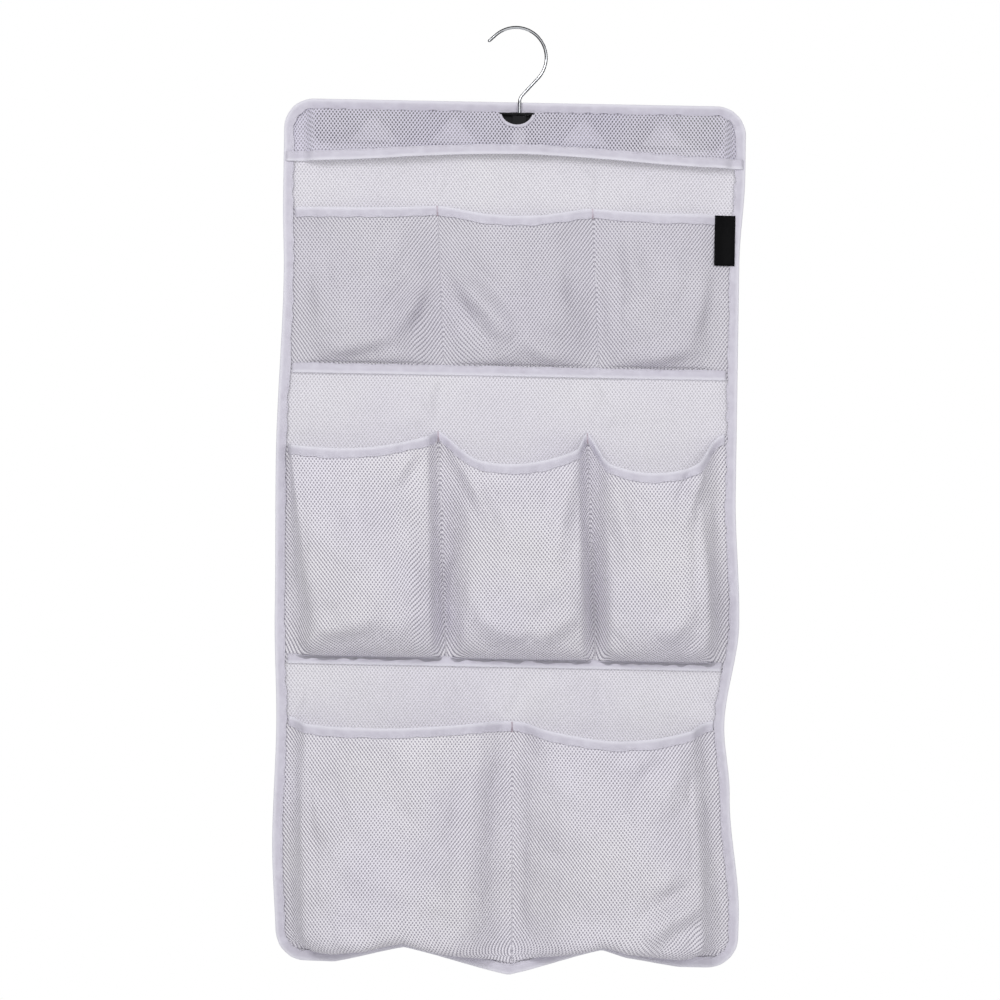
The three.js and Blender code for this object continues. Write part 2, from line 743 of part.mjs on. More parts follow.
// Edging of the notch that the hook passes through
function notchStations() {
  const low = Math.asin(notchTapeTopMargin / notchDepth);
  return [...Array(notchSteps + 1).keys()].map((k) => {
    const turn = mix(-Math.PI + low, -low, k / notchSteps);
    const across = notchShift + notchHalfWidth * Math.cos(turn);
    const edge = point(across, sleeveFrontY, notchTopZ + notchDepth * Math.sin(turn));
    const inward = point(notchDepth * Math.cos(turn), 0, notchHalfWidth * Math.sin(turn)).normalize();
    return { edge, inward, normal: point(0, -1, 0) };
  });
}
addPiece(fabric, "notch_edging", foldedTape(notchStations(), {
  width: notchTapeWidth, wall: notchTapeThickness, slotLow: -slotHalf, slotHigh: slotHalf,
}), tapeLilac);

// Label: a short woven tape that lies over the right end of the small row's tape

function labelGeometry() {
  const pocket = smallRow[smallRow.length - 1];
  const right = halfWidth - labelSideInset;
  const top = pocket.top - labelTopDrop;
  const outer = boundHalf(top) - tapeEndGap - sideFlange;
  const inner = seamX(pocket, pocket.left, top) + seamFlange;
  const clear = slotHalf + tapeThickness + labelStandoff + labelThickness / 2;
  const grid = [...Array(labelRows + 1).keys()].map((i) => [...Array(labelColumns + 1).keys()].map((j) => {
    const x = right - labelWidth * (1 - j / labelColumns);
    const share = THREE.MathUtils.clamp((x - inner) / (outer - inner), 0, 1);
    const depth = smallFullDepth * forwardAt(pocket, share, insetsAt(pocket, 0));
    return drape(point(x, clothMidY - clear - depth, top - labelHeight * i / labelRows));
  }));
  return sheetGeometry(grid, labelThickness);
}
addPiece(fabric, "side_label", labelGeometry(), labelBlack);

// Hanger bar: a flanged beam with ribs, triangular windows and a boss for the hook

const slab = (shape, depth) => {
  const options = { depth, bevelEnabled: false, curveSegments: barCornerSteps };
  const geometry = new THREE.ExtrudeGeometry(shape, options);
  geometry.rotateX(Math.PI / 2);
  geometry.translate(0, depth / 2, 0);
  return toSolid(geometry);
};

function roundedRectangle(width, height, radius, middleZ) {
  const shape = new THREE.Shape();
  const x = width / 2;
  const z = height / 2;
  shape.absarc(x - radius, middleZ + z - radius, radius, 0, Math.PI / 2);
  shape.absarc(radius - x, middleZ + z - radius, radius, Math.PI / 2, Math.PI);
  shape.absarc(radius - x, middleZ - z + radius, radius, Math.PI, Math.PI * 1.5);
  shape.absarc(x - radius, middleZ - z + radius, radius, Math.PI * 1.5, Math.PI * 2);
  return shape;
}

function box(width, depth, topZ, bottomZ, x = 0) {
  const geometry = new THREE.BoxGeometry(width, depth, topZ - bottomZ);
  geometry.translate(x, 0, (topZ + bottomZ) / 2);
  return toSolid(geometry);
}

const barMiddleZ = barTopZ - barHeight / 2;
const barInnerTop = barTopZ - barFlange;
const barInnerFoot = barTopZ - barHeight + barFlange;
const bossFoot = barInnerTop - bossHeight;

function windowShape(x, grow) {
  const top = barInnerTop - windowInset + grow;
  return new THREE.Shape([
    new THREE.Vector2(x - windowHalfBase - grow, barInnerFoot - grow),
    new THREE.Vector2(x + windowHalfBase + grow, barInnerFoot - grow),
    new THREE.Vector2(x + windowInset, top),
    new THREE.Vector2(x - windowInset, top),
  ]);
}

function hangerBar() {
  const through = barThickness + cutOverrun * 2;
  const innerHeight = barHeight - 2 * barFlange;
  const inner = roundedRectangle(barLength - 2 * barFlange, innerHeight, barCorner - barFlange, barMiddleZ);
  const outline = slab(roundedRectangle(barLength, barHeight, barCorner, barMiddleZ), barThickness);
  const windows = windowPlaceShares.flatMap((share) => [-share * barLength / 2, share * barLength / 2]);
  let ribs = box(bossWidth, barThickness, barInnerTop + barFlange / 2, bossFoot);
  let holes = box(bossWindow, through, bossFoot, barInnerFoot);
  for (const x of windows) {
    ribs = ribs.add(slab(windowShape(x, barRib), barThickness));
    holes = holes.add(slab(windowShape(x, 0), through));
  }
  const core = slab(inner, through);
  const frame = outline.subtract(core);
  const web = outline.intersect(slab(inner, barWeb));
  const ribbed = ribs.intersect(outline);
  const bore = turned(wireRadius + boreClearance, barTopZ + barFlange, barTopZ - boreDepth - barFlange);
  const chamber = turned(chamberRadius, barTopZ - boreDepth, bossFoot - layerGap);
  return frame.add(web).add(ribbed).subtract(holes).subtract(toSolid(bore)).subtract(toSolid(chamber));
}

function turned(radius, topZ, bottomZ, hole = 0) {
  const profile = hole
    ? [[hole, bottomZ], [radius, bottomZ], [radius, topZ], [hole, topZ], [hole, bottomZ]]
    : [[0, bottomZ], [radius, bottomZ], [radius, topZ], [0, topZ]];
  const geometry = new THREE.LatheGeometry(profile.map(([x, y]) => new THREE.Vector2(x, y)), turnedSides);
  geometry.rotateX(Math.PI / 2);
  return geometry;
}

addPiece(hanger, "hanger_bar", toGeometry(hangerBar()), barBlack);

// Swivel hook: one bent wire with a head upset on its lower end

const washerTopZ = barTopZ - boreDepth - layerGap;
const headTopZ = washerTopZ - washerThickness - layerGap;
const headFootZ = headTopZ - headThickness;
addPiece(hanger, "swivel_washer",
  turned(washerRadius, washerTopZ, washerTopZ - washerThickness, wireRadius + boreClearance), hookChrome);

class Arc extends THREE.Curve {
  constructor(centre, radius, start, end) {
    super();
    Object.assign(this, { centre, radius, start, end });
  }

  getPoint(share, target = new THREE.Vector3()) {
    const turn = mix(this.start, this.end, share);
    const { x, z } = this.centre;
    return target.set(x + this.radius * Math.cos(turn), 0, z + this.radius * Math.sin(turn));
  }
}

function hookPath() {
  const crown = point(-crownOffset, 0, wireRadius - crownRadius);
  const leave = radians(crownStart);
  const end = radians(crownEnd);
  const start = point(crown.x + crownRadius * Math.cos(leave), 0, crown.z + crownRadius * Math.sin(leave));
  const slant = point(Math.sin(leave), 0, -Math.cos(leave));
  const corner = start.clone().addScaledVector(slant, start.x / -slant.x);
  const cut = neckRadius * Math.tan(-leave / 2);
  const neckTop = corner.clone().addScaledVector(slant, -cut);
  const neckFoot = corner.clone().setZ(corner.z - cut);
  const neckCentre = point(neckRadius, 0, neckFoot.z);
  const last = point(crown.x + crownRadius * Math.cos(end), 0, crown.z + crownRadius * Math.sin(end));
  const tip = last.clone().addScaledVector(point(-Math.sin(end), 0, Math.cos(end)), hookTip);
  const path = new THREE.CurvePath();
  path.add(new THREE.LineCurve3(point(0, 0, headTopZ - headThickness / 2), neckFoot));
  path.add(new Arc(neckCentre, neckRadius, Math.PI, Math.PI + leave));
  path.add(new THREE.LineCurve3(neckTop, start));
  path.add(new Arc(crown, crownRadius, leave, end));
  path.add(new THREE.LineCurve3(last, tip));
  return { path, tip };
}

function hookGeometry() {
  const { path, tip } = hookPath();
  const round = new THREE.Shape([...Array(wireSides).keys()].map((k) => {
    const turn = 2 * Math.PI * k / wireSides;
    return new THREE.Vector2(wireRadius * Math.cos(turn), wireRadius * Math.sin(turn));
  }));
  const wire = toSolid(new THREE.ExtrudeGeometry(round, { steps: wireSteps, extrudePath: path }));
  const end = new THREE.SphereGeometry(wireRadius, wireSides, wireSides / 2);
  end.translate(tip.x, 0, tip.z);
  const head = turned(headRadius, headTopZ, headFootZ);
  return toGeometry(wire.add(toSolid(end)).add(toSolid(head)));
}
addPiece(hanger, "swivel_hook", hookGeometry(), hookChrome);

export default organiser;
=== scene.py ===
"""A hanging mesh organiser: a bound panel of knitted polyester mesh with eight open pockets,
a sleeve with a plastic bar in it, and a swivelling steel hook. Lengths are in metres, +Z is
up, the pockets face -Y, and the origin is the point where the hook sits on a rail."""

import math
from dataclasses import dataclass

import bmesh
import bpy
import numpy as np
from bpy.props import FloatProperty, FloatVectorProperty, PointerProperty
from bpy.types import Operator, Panel, PropertyGroup
from mathutils import Matrix, Vector
from mathutils.bvhtree import BVHTree


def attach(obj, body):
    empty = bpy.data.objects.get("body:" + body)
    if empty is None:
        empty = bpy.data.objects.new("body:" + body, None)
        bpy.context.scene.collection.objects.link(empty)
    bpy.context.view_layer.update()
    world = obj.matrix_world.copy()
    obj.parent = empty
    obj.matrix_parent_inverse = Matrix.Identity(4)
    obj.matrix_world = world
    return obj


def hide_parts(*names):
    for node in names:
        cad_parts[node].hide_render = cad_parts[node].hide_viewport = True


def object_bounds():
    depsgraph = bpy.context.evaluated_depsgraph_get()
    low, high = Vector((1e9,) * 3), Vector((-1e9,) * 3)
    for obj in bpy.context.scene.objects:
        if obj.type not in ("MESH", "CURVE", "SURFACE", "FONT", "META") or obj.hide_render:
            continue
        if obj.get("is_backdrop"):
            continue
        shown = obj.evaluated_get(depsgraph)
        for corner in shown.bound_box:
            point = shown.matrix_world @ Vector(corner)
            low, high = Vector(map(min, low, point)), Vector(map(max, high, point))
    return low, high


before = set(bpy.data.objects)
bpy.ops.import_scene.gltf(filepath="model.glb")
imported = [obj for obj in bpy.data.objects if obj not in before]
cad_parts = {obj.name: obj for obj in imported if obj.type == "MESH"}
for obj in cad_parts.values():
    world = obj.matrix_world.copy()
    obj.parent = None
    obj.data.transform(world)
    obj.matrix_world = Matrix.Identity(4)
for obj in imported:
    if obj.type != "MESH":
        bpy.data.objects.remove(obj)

bl_info = {
    "name": "Hanging mesh organiser",
    "version": (1, 0, 0),
    "blender": (4, 5, 0),
    "location": "3D view > Sidebar > Organiser",
    "description": "Builds a hanging organiser of mesh pockets on a bar hanger",
    "category": "Mesh",
}

TAU = 2 * math.pi
CAD_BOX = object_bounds()
FORWARD = np.array([0.0, -1.0, 0.0])

# Depth of the layers: the bar is in the middle, the cloth and the panel behind it
CLOTH_Y = 0.0034
PANEL_Y = 0.0052
CLOTH_HALF = 0.0003
SLOT_HALF = 0.0006
LAYER_GAP = 0.0003

# Panel
PANEL_TOP = -0.072
PANEL_WIDTH = 0.450
PANEL_HEIGHT = 0.839
PANEL_BOTTOM = PANEL_TOP - PANEL_HEIGHT
HALF_WIDTH = PANEL_WIDTH / 2
CORNER_RADIUS = 0.028
CLOTH_INSET = 0.002

# How the hanging panel departs from a flat rectangle
PLUMB_LEAN = 0.003
SIDE_SWAY = 0.009
LEFT_SWAY = (
    (0.12, -0.1), (0.2, -0.3), (0.42, 0.25), (0.6, 0.1), (0.73, -0.25), (0.86, 0), (1, -0.6),
)
RIGHT_SWAY = (
    (0.08, 0), (0.18, -0.5), (0.45, -0.5), (0.6, 0.1), (0.72, -1.35), (0.8, -0.65), (0.94, 0.55),
    (1, 0.45),
)
WAVE_REACH = 0.160
FOOT_LIFT = 0.015
FOOT_WAVE = (
    (-1, 0), (-0.74, -0.07), (-0.43, 0.95), (0.03, -0.72), (0.43, 1), (0.54, 0.5), (0.76, 0),
    (1, 0),
)

# Pockets: how slowly a gusset leaves the panel, beside a seam and beside the panel's edge
SEAM_GUSSET_POWER = 1.5
EDGE_GUSSET_POWER = 2.3

# Tapes. The place of the fold is measured round the tape, from its front edge
TAPE_WIDTH = 0.009
TAPE_WALL = 0.0005
TAPE_FOLD_AT = 0.0105
BINDING_WIDTH = 0.009
BINDING_WALL = 0.0006
BINDING_LOW = -0.0007
BINDING_HIGH = PANEL_Y - CLOTH_Y + SLOT_HALF
BINDING_PUCKER = 0.00018
CORNER_PUCKER = 0.0004
BAND = 0.011
LOW_FOOT_BAND = 0.0074
TAPE_PUCKER = 0.00014
PUCKER_LENGTH = 0.012
PUCKER_FADE = 0.6
REAR_PUCKER = -0.3
WAVER_LENGTH = 0.016
WAVER_STEP = 0.0002
TAPE_END_GAP = 0.0008
SIDE_FLANGE = 0.0015
SEAM_FLANGE = 0.0012

# Stitches run at a share of a tape's width. Each has rings, given by their share of its length
# and by their size and lift in thread radii. A bartack is a zigzag over a seam's top
STITCH_AT = 0.86
STITCH_DENT = 0.00026
STITCH_SIDES = 6
STITCH_RINGS = (
    (0.0, 0.35, -0.6), (0.14, 0.9, 0.1), (0.5, 1.0, 0.55), (0.86, 0.9, 0.1), (1.0, 0.35, -0.6),
)
BARTACK_TURNS = 26
BARTACK_HALF_WIDTH = 0.0007
BARTACK_OVERLAP = 0.0004

# Sleeve, bar and notch
SLEEVE_HEIGHT = 0.060
HEM_RISE = 0.010
HEM_LIFT = 0.0025
HEM_RAMP = 0.004
SLEEVE_TAPER = 0.012
SLEEVE_REACH = 0.2152
SLEEVE_Y = -0.0058
BAR_LENGTH = 0.398
STEM_X = 0.0044
BEND_INSET = 0.0096
BEND_RADIUS = 0.0022
NOTCH_X = 0.002
NOTCH_HALF_WIDTH = 0.016
NOTCH_DEPTH = 0.0135
NOTCH_TOP = PANEL_TOP - BINDING_WIDTH
NOTCH_TAPE_WIDTH = 0.0025
NOTCH_TAPE_WALL = 0.0004
NOTCH_TAPE_TOP = 0.0032
NOTCH_FINE_REACH = 1.4

# Hook
WIRE_RADIUS = 0.0015
CROWN_RADIUS = 0.0295
CROWN_START = math.radians(-42)
CROWN_END = math.radians(132)
TIP_LENGTH = 0.0105
NECK_RADIUS = 0.010
HEAD_TOP = -0.0894
HEAD_RADIUS = 0.0026
HEAD_THICKNESS = 0.0015

# Label
LABEL_WIDTH = 0.020
LABEL_HEIGHT = 0.049
LABEL_RIGHT = 0.217
LABEL_TOP = -0.178
LABEL_THICKNESS = 0.0008
LABEL_EDGE_SHARE = 0.55
LABEL_LEAN = 0.0012
LABEL_SMOOTHING = 12
LABEL_GRID = (26, 13)
IN_FRONT = -0.2

# Cloths: grid spacing, how much of a turn forward draws the knit out, how far forward folds are
# full, and their least share where the cloth faces aside
CLOTH_STEP = 0.003
TURN_SHARE = 0.3
FREE_DEPTH = 0.012
LEAST_FACING = 0.15

# Uneven waves of the cloths, each with its height and length
RIPPLE_COUNT = 20
ROW_WAVES = ((0.0009, 0.045), (0.00018, 0.014))
PANEL_WAVES = ((0.00035, 0.050), (0.0002, 0.018))
PANEL_SWELL = ((0.0003, 0.07),)
SLEEVE_WAVE = ((0.0009, 0.075),)
SLEEVE_CRINKLE = ((0.0004, 0.022),)

# Stage. The cards stand beside and above the hook. A lamp has its place, size and watts
LIGHT_AROUND = 0.49
LAMP_AIM = (0, 0, -0.5)
LAMPS = {
    "key": ((-1.2, -2.5, 0.9), 1.0, 33),
    "fill": ((1.3, -2.4, 0.1), 1.2, 16),
    "back": ((0.6, 2.4, 0.5), 1.6, 24),
}
FLOOR_Z = -1.30
FLOOR_RADIUS = 2.0
FLOOR_SHADE = 0.80
FLOOR_FADE = (0.7, 1.8)
CARD_REACH = 0.7
CARD_DEPTH = (-1.2, 1.8)
CARD_HEIGHT = (-1.2, 0.7)

# The photographed view
PHOTO_SIZE = 1000
PHOTO_SCALE = 0.000975
RAIL_PIXEL = (516.5, 29)
CAMERA_DISTANCE = 3.0
CAMERA_ROLL = math.radians(1.1)
SENSOR_WIDTH = 0.036


@dataclass(frozen=True)
class Pocket:
    """How far a pocket's top edge hangs below its row's top line, from left to right: at the
    left end, the left front corner, the right front corner and the right end, and how much
    further its front droops between the corners. Each front corner stands in from its end of
    the pocket by an inset, given for the top and for the foot."""
    place: str
    left: float
    left_corner: float
    right_corner: float
    right: float
    droop: float
    left_inset: tuple
    right_inset: tuple


@dataclass(frozen=True)
class Row:
    """One row of pockets, made of one cloth. Its seams are given where they start, at the top,
    and lean to the right on their way down. The bow is the share of its depth that a pocket's
    front gains from its ends to its middle."""
    name: str
    top: float
    bottom: float
    foot: float
    top_depth: float
    full_depth: float
    base: float
    base_power: float
    sag: float
    crease: float
    bow: float
    seams: tuple
    lean: float
    pockets: tuple
    columns: int
    lines: tuple


@dataclass(frozen=True)
class Fold:
    """A raised fold from start to end, seen from the front. It bows sideways, and a sharp one
    has a crease for its crest."""
    start: tuple
    end: tuple
    width: float
    height: float
    bow: float = 0.0
    sharp: bool = False


SMALL_ROW = Row(
    name="small", top=PANEL_TOP - 0.102, bottom=PANEL_TOP - 0.266, foot=BAND,
    top_depth=0.008, full_depth=0.018, base=0.036, base_power=1.7, sag=0.002, crease=2.0, bow=0.07,
    seams=(-0.0745, 0.0775), lean=0.009, columns=52, lines=(4, 34, 18, 4),
    pockets=(
        Pocket("left", 0.004, 0.004, 0.001, 0.0, 0.001, (0.030, 0.036), (0.034, 0.034)),
        Pocket("middle", 0.0, 0.003, 0.003, 0.0, 0.006, (0.040, 0.030), (0.040, 0.030)),
        Pocket("right", 0.0, 0.001, 0.003, 0.005, 0.002, (0.034, 0.034), (0.030, 0.040)),
    ),
)
MEDIUM_ROW = Row(
    name="medium", top=PANEL_TOP - 0.320, bottom=PANEL_TOP - 0.550, foot=LOW_FOOT_BAND,
    top_depth=0.030, full_depth=0.046, base=0.044, base_power=1.6, sag=0.003, crease=5.0, bow=0.3,
    seams=(-0.070, 0.076), lean=0.011, columns=84, lines=(4, 54, 26, 4),
    pockets=(
        Pocket("left", 0.017, 0.018, 0.006, 0.002, 0.008, (0.004, 0.026), (0.010, 0.012)),
        Pocket("middle", 0.002, 0.024, 0.018, 0.001, 0.012, (0.034, 0.020), (0.010, 0.012)),
        Pocket("right", 0.001, 0.030, 0.024, 0.000, 0.012, (0.020, 0.017), (0.031, 0.022)),
    ),
)
LARGE_ROW = Row(
    name="large", top=PANEL_TOP - 0.603, bottom=PANEL_BOTTOM + CLOTH_INSET, foot=0.009,
    top_depth=0.030, full_depth=0.050, base=0.024, base_power=3.2, sag=0.009, crease=7.0, bow=0.6,
    seams=(0.0065,), lean=0.003, columns=116, lines=(4, 58, 24, 4),
    pockets=(
        Pocket("left", 0.000, 0.008, -0.001, 0.001, 0.004, (0.022, 0.022), (0.040, 0.055)),
        Pocket("right", 0.001, 0.001, 0.003, -0.003, 0.014, (0.040, 0.055), (0.031, 0.031)),
    ),
)
ROWS = (SMALL_ROW, MEDIUM_ROW, LARGE_ROW)

# A fold fades at its ends, and has valleys beside it, measured in its own height and width
FOLD_END_POWER = 0.6
VALLEY_DEPTH = 0.45
VALLEY_AT = 2
VALLEY_WIDTH = 0.8

# Folds that the hanging pockets show: tension lines from the seams, creases of the gussets
FOLDS = {
    "small": (
        Fold((-0.072, -0.230), (0.002, -0.302), 0.0100, 0.0104, bow=0.003),
        Fold((-0.076, -0.250), (-0.114, -0.298), 0.0085, 0.0081, bow=-0.003),
        Fold((-0.070, -0.262), (-0.058, -0.318), 0.0090, 0.0044),
        Fold((0.026, -0.204), (0.068, -0.186), 0.0080, 0.0059),
        Fold((0.088, -0.190), (0.094, -0.330), 0.0065, 0.0055),
        Fold((-0.105, -0.190), (-0.128, -0.246), 0.0080, 0.0039),
        Fold((-0.200, -0.200), (-0.188, -0.300), 0.0080, 0.0042),
        Fold((0.052, -0.200), (0.040, -0.300), 0.0110, 0.0047, bow=-0.004),
        Fold((0.110, -0.190), (0.124, -0.262), 0.0080, 0.0039),
        Fold((0.196, -0.230), (0.168, -0.300), 0.0090, 0.0052, bow=0.003),
        Fold((-0.190, -0.322), (-0.110, -0.300), 0.0070, 0.0047),
        Fold((0.010, -0.302), (0.056, -0.326), 0.0080, 0.0052),
        Fold((0.120, -0.326), (0.180, -0.304), 0.0080, 0.0047),
    ),
    "medium": (
        Fold((-0.064, -0.402), (0.000, -0.512), 0.0060, 0.0060, bow=0.005, sharp=True),
        Fold((0.197, -0.408), (0.170, -0.468), 0.0050, 0.0057, sharp=True),
        Fold((0.188, -0.430), (0.170, -0.486), 0.0055, 0.0041, sharp=True),
        Fold((-0.088, -0.408), (-0.116, -0.452), 0.0060, 0.0046),
        Fold((0.066, -0.420), (0.048, -0.520), 0.0080, 0.0046, bow=-0.004),
        Fold((-0.044, -0.500), (-0.056, -0.600), 0.0060, 0.0046, bow=-0.004),
        Fold((0.100, -0.430), (0.118, -0.530), 0.0080, 0.0046, bow=0.004),
        Fold((-0.214, -0.425), (-0.198, -0.566), 0.0050, 0.0039, sharp=True),
        Fold((-0.100, -0.480), (-0.092, -0.590), 0.0090, 0.0041, bow=0.004),
        Fold((0.200, -0.440), (0.198, -0.580), 0.0060, 0.0039, bow=-0.004),
        Fold((-0.030, -0.560), (0.020, -0.592), 0.0100, 0.0051, bow=-0.006),
        Fold((0.070, -0.556), (0.026, -0.592), 0.0090, 0.0048, bow=0.005),
        Fold((-0.120, -0.572), (-0.196, -0.596), 0.0090, 0.0046),
        Fold((0.186, -0.556), (0.150, -0.592), 0.0090, 0.0046),
        Fold((-0.150, -0.440), (-0.138, -0.530), 0.0140, 0.0032),
        Fold((0.089, -0.590), (0.118, -0.612), 0.0055, 0.0039, sharp=True),
        Fold((0.196, -0.594), (0.176, -0.612), 0.0050, 0.0034, sharp=True),
        Fold((-0.204, -0.584), (-0.180, -0.612), 0.0060, 0.0034, sharp=True),
    ),
    "large": (
        Fold((0.140, -0.880), (0.196, -0.843), 0.0090, 0.0083, bow=0.004),
        Fold((0.158, -0.850), (0.190, -0.826), 0.0100, -0.0057),
        Fold((0.192, -0.690), (0.197, -0.848), 0.0050, 0.0034, sharp=True),
        Fold((-0.199, -0.690), (-0.187, -0.862), 0.0050, 0.0037, sharp=True),
        Fold((-0.210, -0.790), (-0.196, -0.850), 0.0080, 0.0046, bow=-0.006),
        Fold((-0.190, -0.700), (-0.160, -0.800), 0.0100, 0.0046, bow=-0.005),
        Fold((0.178, -0.700), (0.140, -0.770), 0.0120, 0.0064, bow=0.003),
        Fold((0.112, -0.720), (0.156, -0.698), 0.0090, 0.0041),
        Fold((-0.016, -0.700), (-0.024, -0.880), 0.0100, 0.0041, bow=-0.004),
        Fold((0.022, -0.700), (0.032, -0.880), 0.0100, 0.0044, bow=0.004),
        Fold((-0.160, -0.884), (-0.110, -0.900), 0.0100, 0.0044),
        Fold((-0.036, -0.896), (-0.090, -0.882), 0.0120, 0.0051),
        Fold((0.056, -0.894), (0.112, -0.884), 0.0120, 0.0046),
        Fold((-0.096, -0.706), (-0.060, -0.790), 0.0160, 0.0051, bow=0.005),
        Fold((0.070, -0.712), (0.056, -0.800), 0.0160, 0.0046, bow=-0.005),
        Fold((0.204, -0.872), (0.190, -0.896), 0.0050, 0.0039, sharp=True),
    ),
}

SLEEVE_FOLDS = (
    Fold((-0.100, -0.116), (-0.020, -0.096), 0.010, 0.0016, bow=0.003),
    Fold((-0.014, -0.100), (-0.055, -0.124), 0.007, 0.0016),
    Fold((0.020, -0.098), (0.070, -0.124), 0.008, 0.0014),
    Fold((0.150, -0.094), (0.196, -0.126), 0.009, 0.0016),
)

# Bare panel: streaks that fan out from the ends of the seams, as place, way in degrees and reach
BARE_FADE = 0.010
BARE_OVERLAP = 0.012
STREAK_HEIGHT = 0.0019
STREAK_LIMITS = (-0.0008, 0.005)
STREAK_START = 0.015
STREAK_RATE = 7
STREAK_SPREAD = 0.75
STREAKS = (
    ((-0.072, -0.392), 100, 0.060), ((0.078, -0.392), 82, 0.060), ((0.078, -0.338), -62, 0.050),
    ((-0.066, -0.338), -120, 0.050), ((0.004, -0.675), 90, 0.055), ((-0.058, -0.622), -75, 0.050),
    ((0.090, -0.622), -104, 0.050), ((0.190, -0.640), -40, 0.055), ((-0.190, -0.640), -120, 0.045),
    ((-0.075, -0.174), 84, 0.045), ((0.076, -0.174), 96, 0.045),
)


def smooth(share):
    share = np.clip(share, 0, 1)
    return share * share * (3 - 2 * share)


def smoother(share):
    share = np.clip(share, 0, 1)
    return share ** 3 * (share * (share * 6 - 15) + 10)


def mix(a, b, share):
    return a + (b - a) * share


def unit(vectors):
    return vectors / np.maximum(np.linalg.norm(vectors, axis=-1, keepdims=True), 1e-12)


def way_along(points):
    """Length along a line at each of its points, or down each column of a grid."""
    steps = np.linalg.norm(np.diff(points, axis=0), axis=-1)
    return np.concatenate([np.zeros_like(steps[:1]), np.cumsum(steps, axis=0)])


def values_at(places, far, values):
    """Values that go with a line's points, at other places along it."""
    return np.stack([np.interp(places, far, column) for column in values.T], axis=-1)


def resample(line, step, values=None):
    """A line's points at even steps of about the given length, or the values that go with
    them."""
    far = way_along(line)
    places = np.linspace(0, far[-1], max(2, round(far[-1] / step) + 1))
    return values_at(places, far, line if values is None else values)


def ripple(seed, length, x, z):
    """A smooth uneven field of about unit height: waves of about one length, added up."""
    rng = np.random.default_rng(seed)
    turns = rng.uniform(0, TAU, RIPPLE_COUNT)
    lengths = length * rng.uniform(0.7, 1.6, RIPPLE_COUNT)
    phases = rng.uniform(0, TAU, RIPPLE_COUNT)
    total = 0
    for turn, size, phase in zip(turns, lengths, phases):
        total = total + np.cos(TAU * (x * math.cos(turn) + z * math.sin(turn)) / size + phase)
    return total / math.sqrt(RIPPLE_COUNT / 2)


def waves(seed, sizes, x, z):
    """Uneven waves added up, each given by its height and length."""
    return sum(height * ripple(seed + k, length, x, z) for k, (height, length) in enumerate(sizes))


# Shape of the hanging panel

def shares_at(table, place, straight=0.0):
    """A table's share at a place, with smooth changes between the places that it lists. A
    straight one goes from place to place in a line."""
    places, shares = np.array(table, float).T
    k = np.clip(np.searchsorted(places, place), 1, len(places) - 1)
    part = np.clip((place - places[k - 1]) / (places[k] - places[k - 1]), 0, 1)
    return mix(shares[k - 1], shares[k], mix(smooth(part), part, straight))


def drape(points):
    """The panel's own shift as it hangs: its sides sway, its foot waves and it leans a little."""
    x, y, z = np.moveaxis(points, -1, 0)
    down = (PANEL_TOP - z) / PANEL_HEIGHT
    across = x / HALF_WIDTH
    sway = np.where(across < 0, shares_at(LEFT_SWAY, down), shares_at(RIGHT_SWAY, down))
    reach = smooth((PANEL_BOTTOM + WAVE_REACH - z) / WAVE_REACH)
    lift = FOOT_LIFT * shares_at(FOOT_WAVE, across, straight=0.8)
    shift = SIDE_SWAY * sway * across * np.abs(across) + PLUMB_LEAN * down
    return np.stack([x + shift, y, z + reach * lift], axis=-1)


def rounded_half(z, radius, inset):
    """Half width of the panel at a height, for its edge or for an outline inside it."""
    above = z - (PANEL_TOP - inset - radius)
    below = PANEL_BOTTOM + inset + radius - z
    past = np.clip(np.maximum(above, below), 0, radius)
    return HALF_WIDTH - inset - radius + np.sqrt(radius ** 2 - past ** 2)


def edge_half(z):
    return rounded_half(z, CORNER_RADIUS, 0)


def bound_half(z):
    return rounded_half(z, CORNER_RADIUS - BINDING_WIDTH, BINDING_WIDTH)


def inside_binding(x):
    """How far a place is inside the binding of the panel's nearer side."""
    return HALF_WIDTH - BINDING_WIDTH - np.abs(x)


def panel_edge(step):
    """The panel's edge, clockwise from the top left corner, evenly stepped."""
    turns = np.linspace(0, math.pi / 2, 18)
    x, z = HALF_WIDTH - CORNER_RADIUS, PANEL_HEIGHT / 2 - CORNER_RADIUS
    middle = PANEL_TOP - PANEL_HEIGHT / 2
    corners = []
    for k, (sign_x, sign_z) in enumerate([(-1, 1), (1, 1), (1, -1), (-1, -1)]):
        turn = math.pi - turns - k * math.pi / 2
        corners.append(np.stack([
            sign_x * x + CORNER_RADIUS * np.cos(turn), np.full(len(turn), PANEL_Y),
            middle + sign_z * z + CORNER_RADIUS * np.sin(turn)], axis=-1))
    line = np.concatenate(corners)
    return drape(resample(np.vstack([line, line[:1]]), step)[:-1])


# Grids of cloth: lines run down, columns to the right

def grid_normals(grid):
    down = np.gradient(grid, axis=0)
    right = np.gradient(grid, axis=1)
    return unit(np.cross(down, right))


def cloth_uv(grid, pockets=1):
    """Place of each point on the flat cloth, in metres: the way across is measured from the
    middle of each pocket, and the way down from its top edge. Where the cloth turns forward,
    the knit is drawn out and its holes lie further apart."""
    steps = np.diff(grid, axis=1)
    across = mix(np.abs(steps[..., 0]), np.linalg.norm(steps, axis=2), TURN_SHARE)
    u = np.hstack([np.zeros((len(grid), 1)), np.cumsum(across, axis=1)])
    middles = u.mean(axis=0)
    for part in np.array_split(np.arange(grid.shape[1]), pockets):
        middle = part[len(part) // 2]
        u[:, part] += middles[middle] - u[:, [middle]]
    return np.stack([u, grid[0, :, 2] - way_along(grid)], axis=-1)


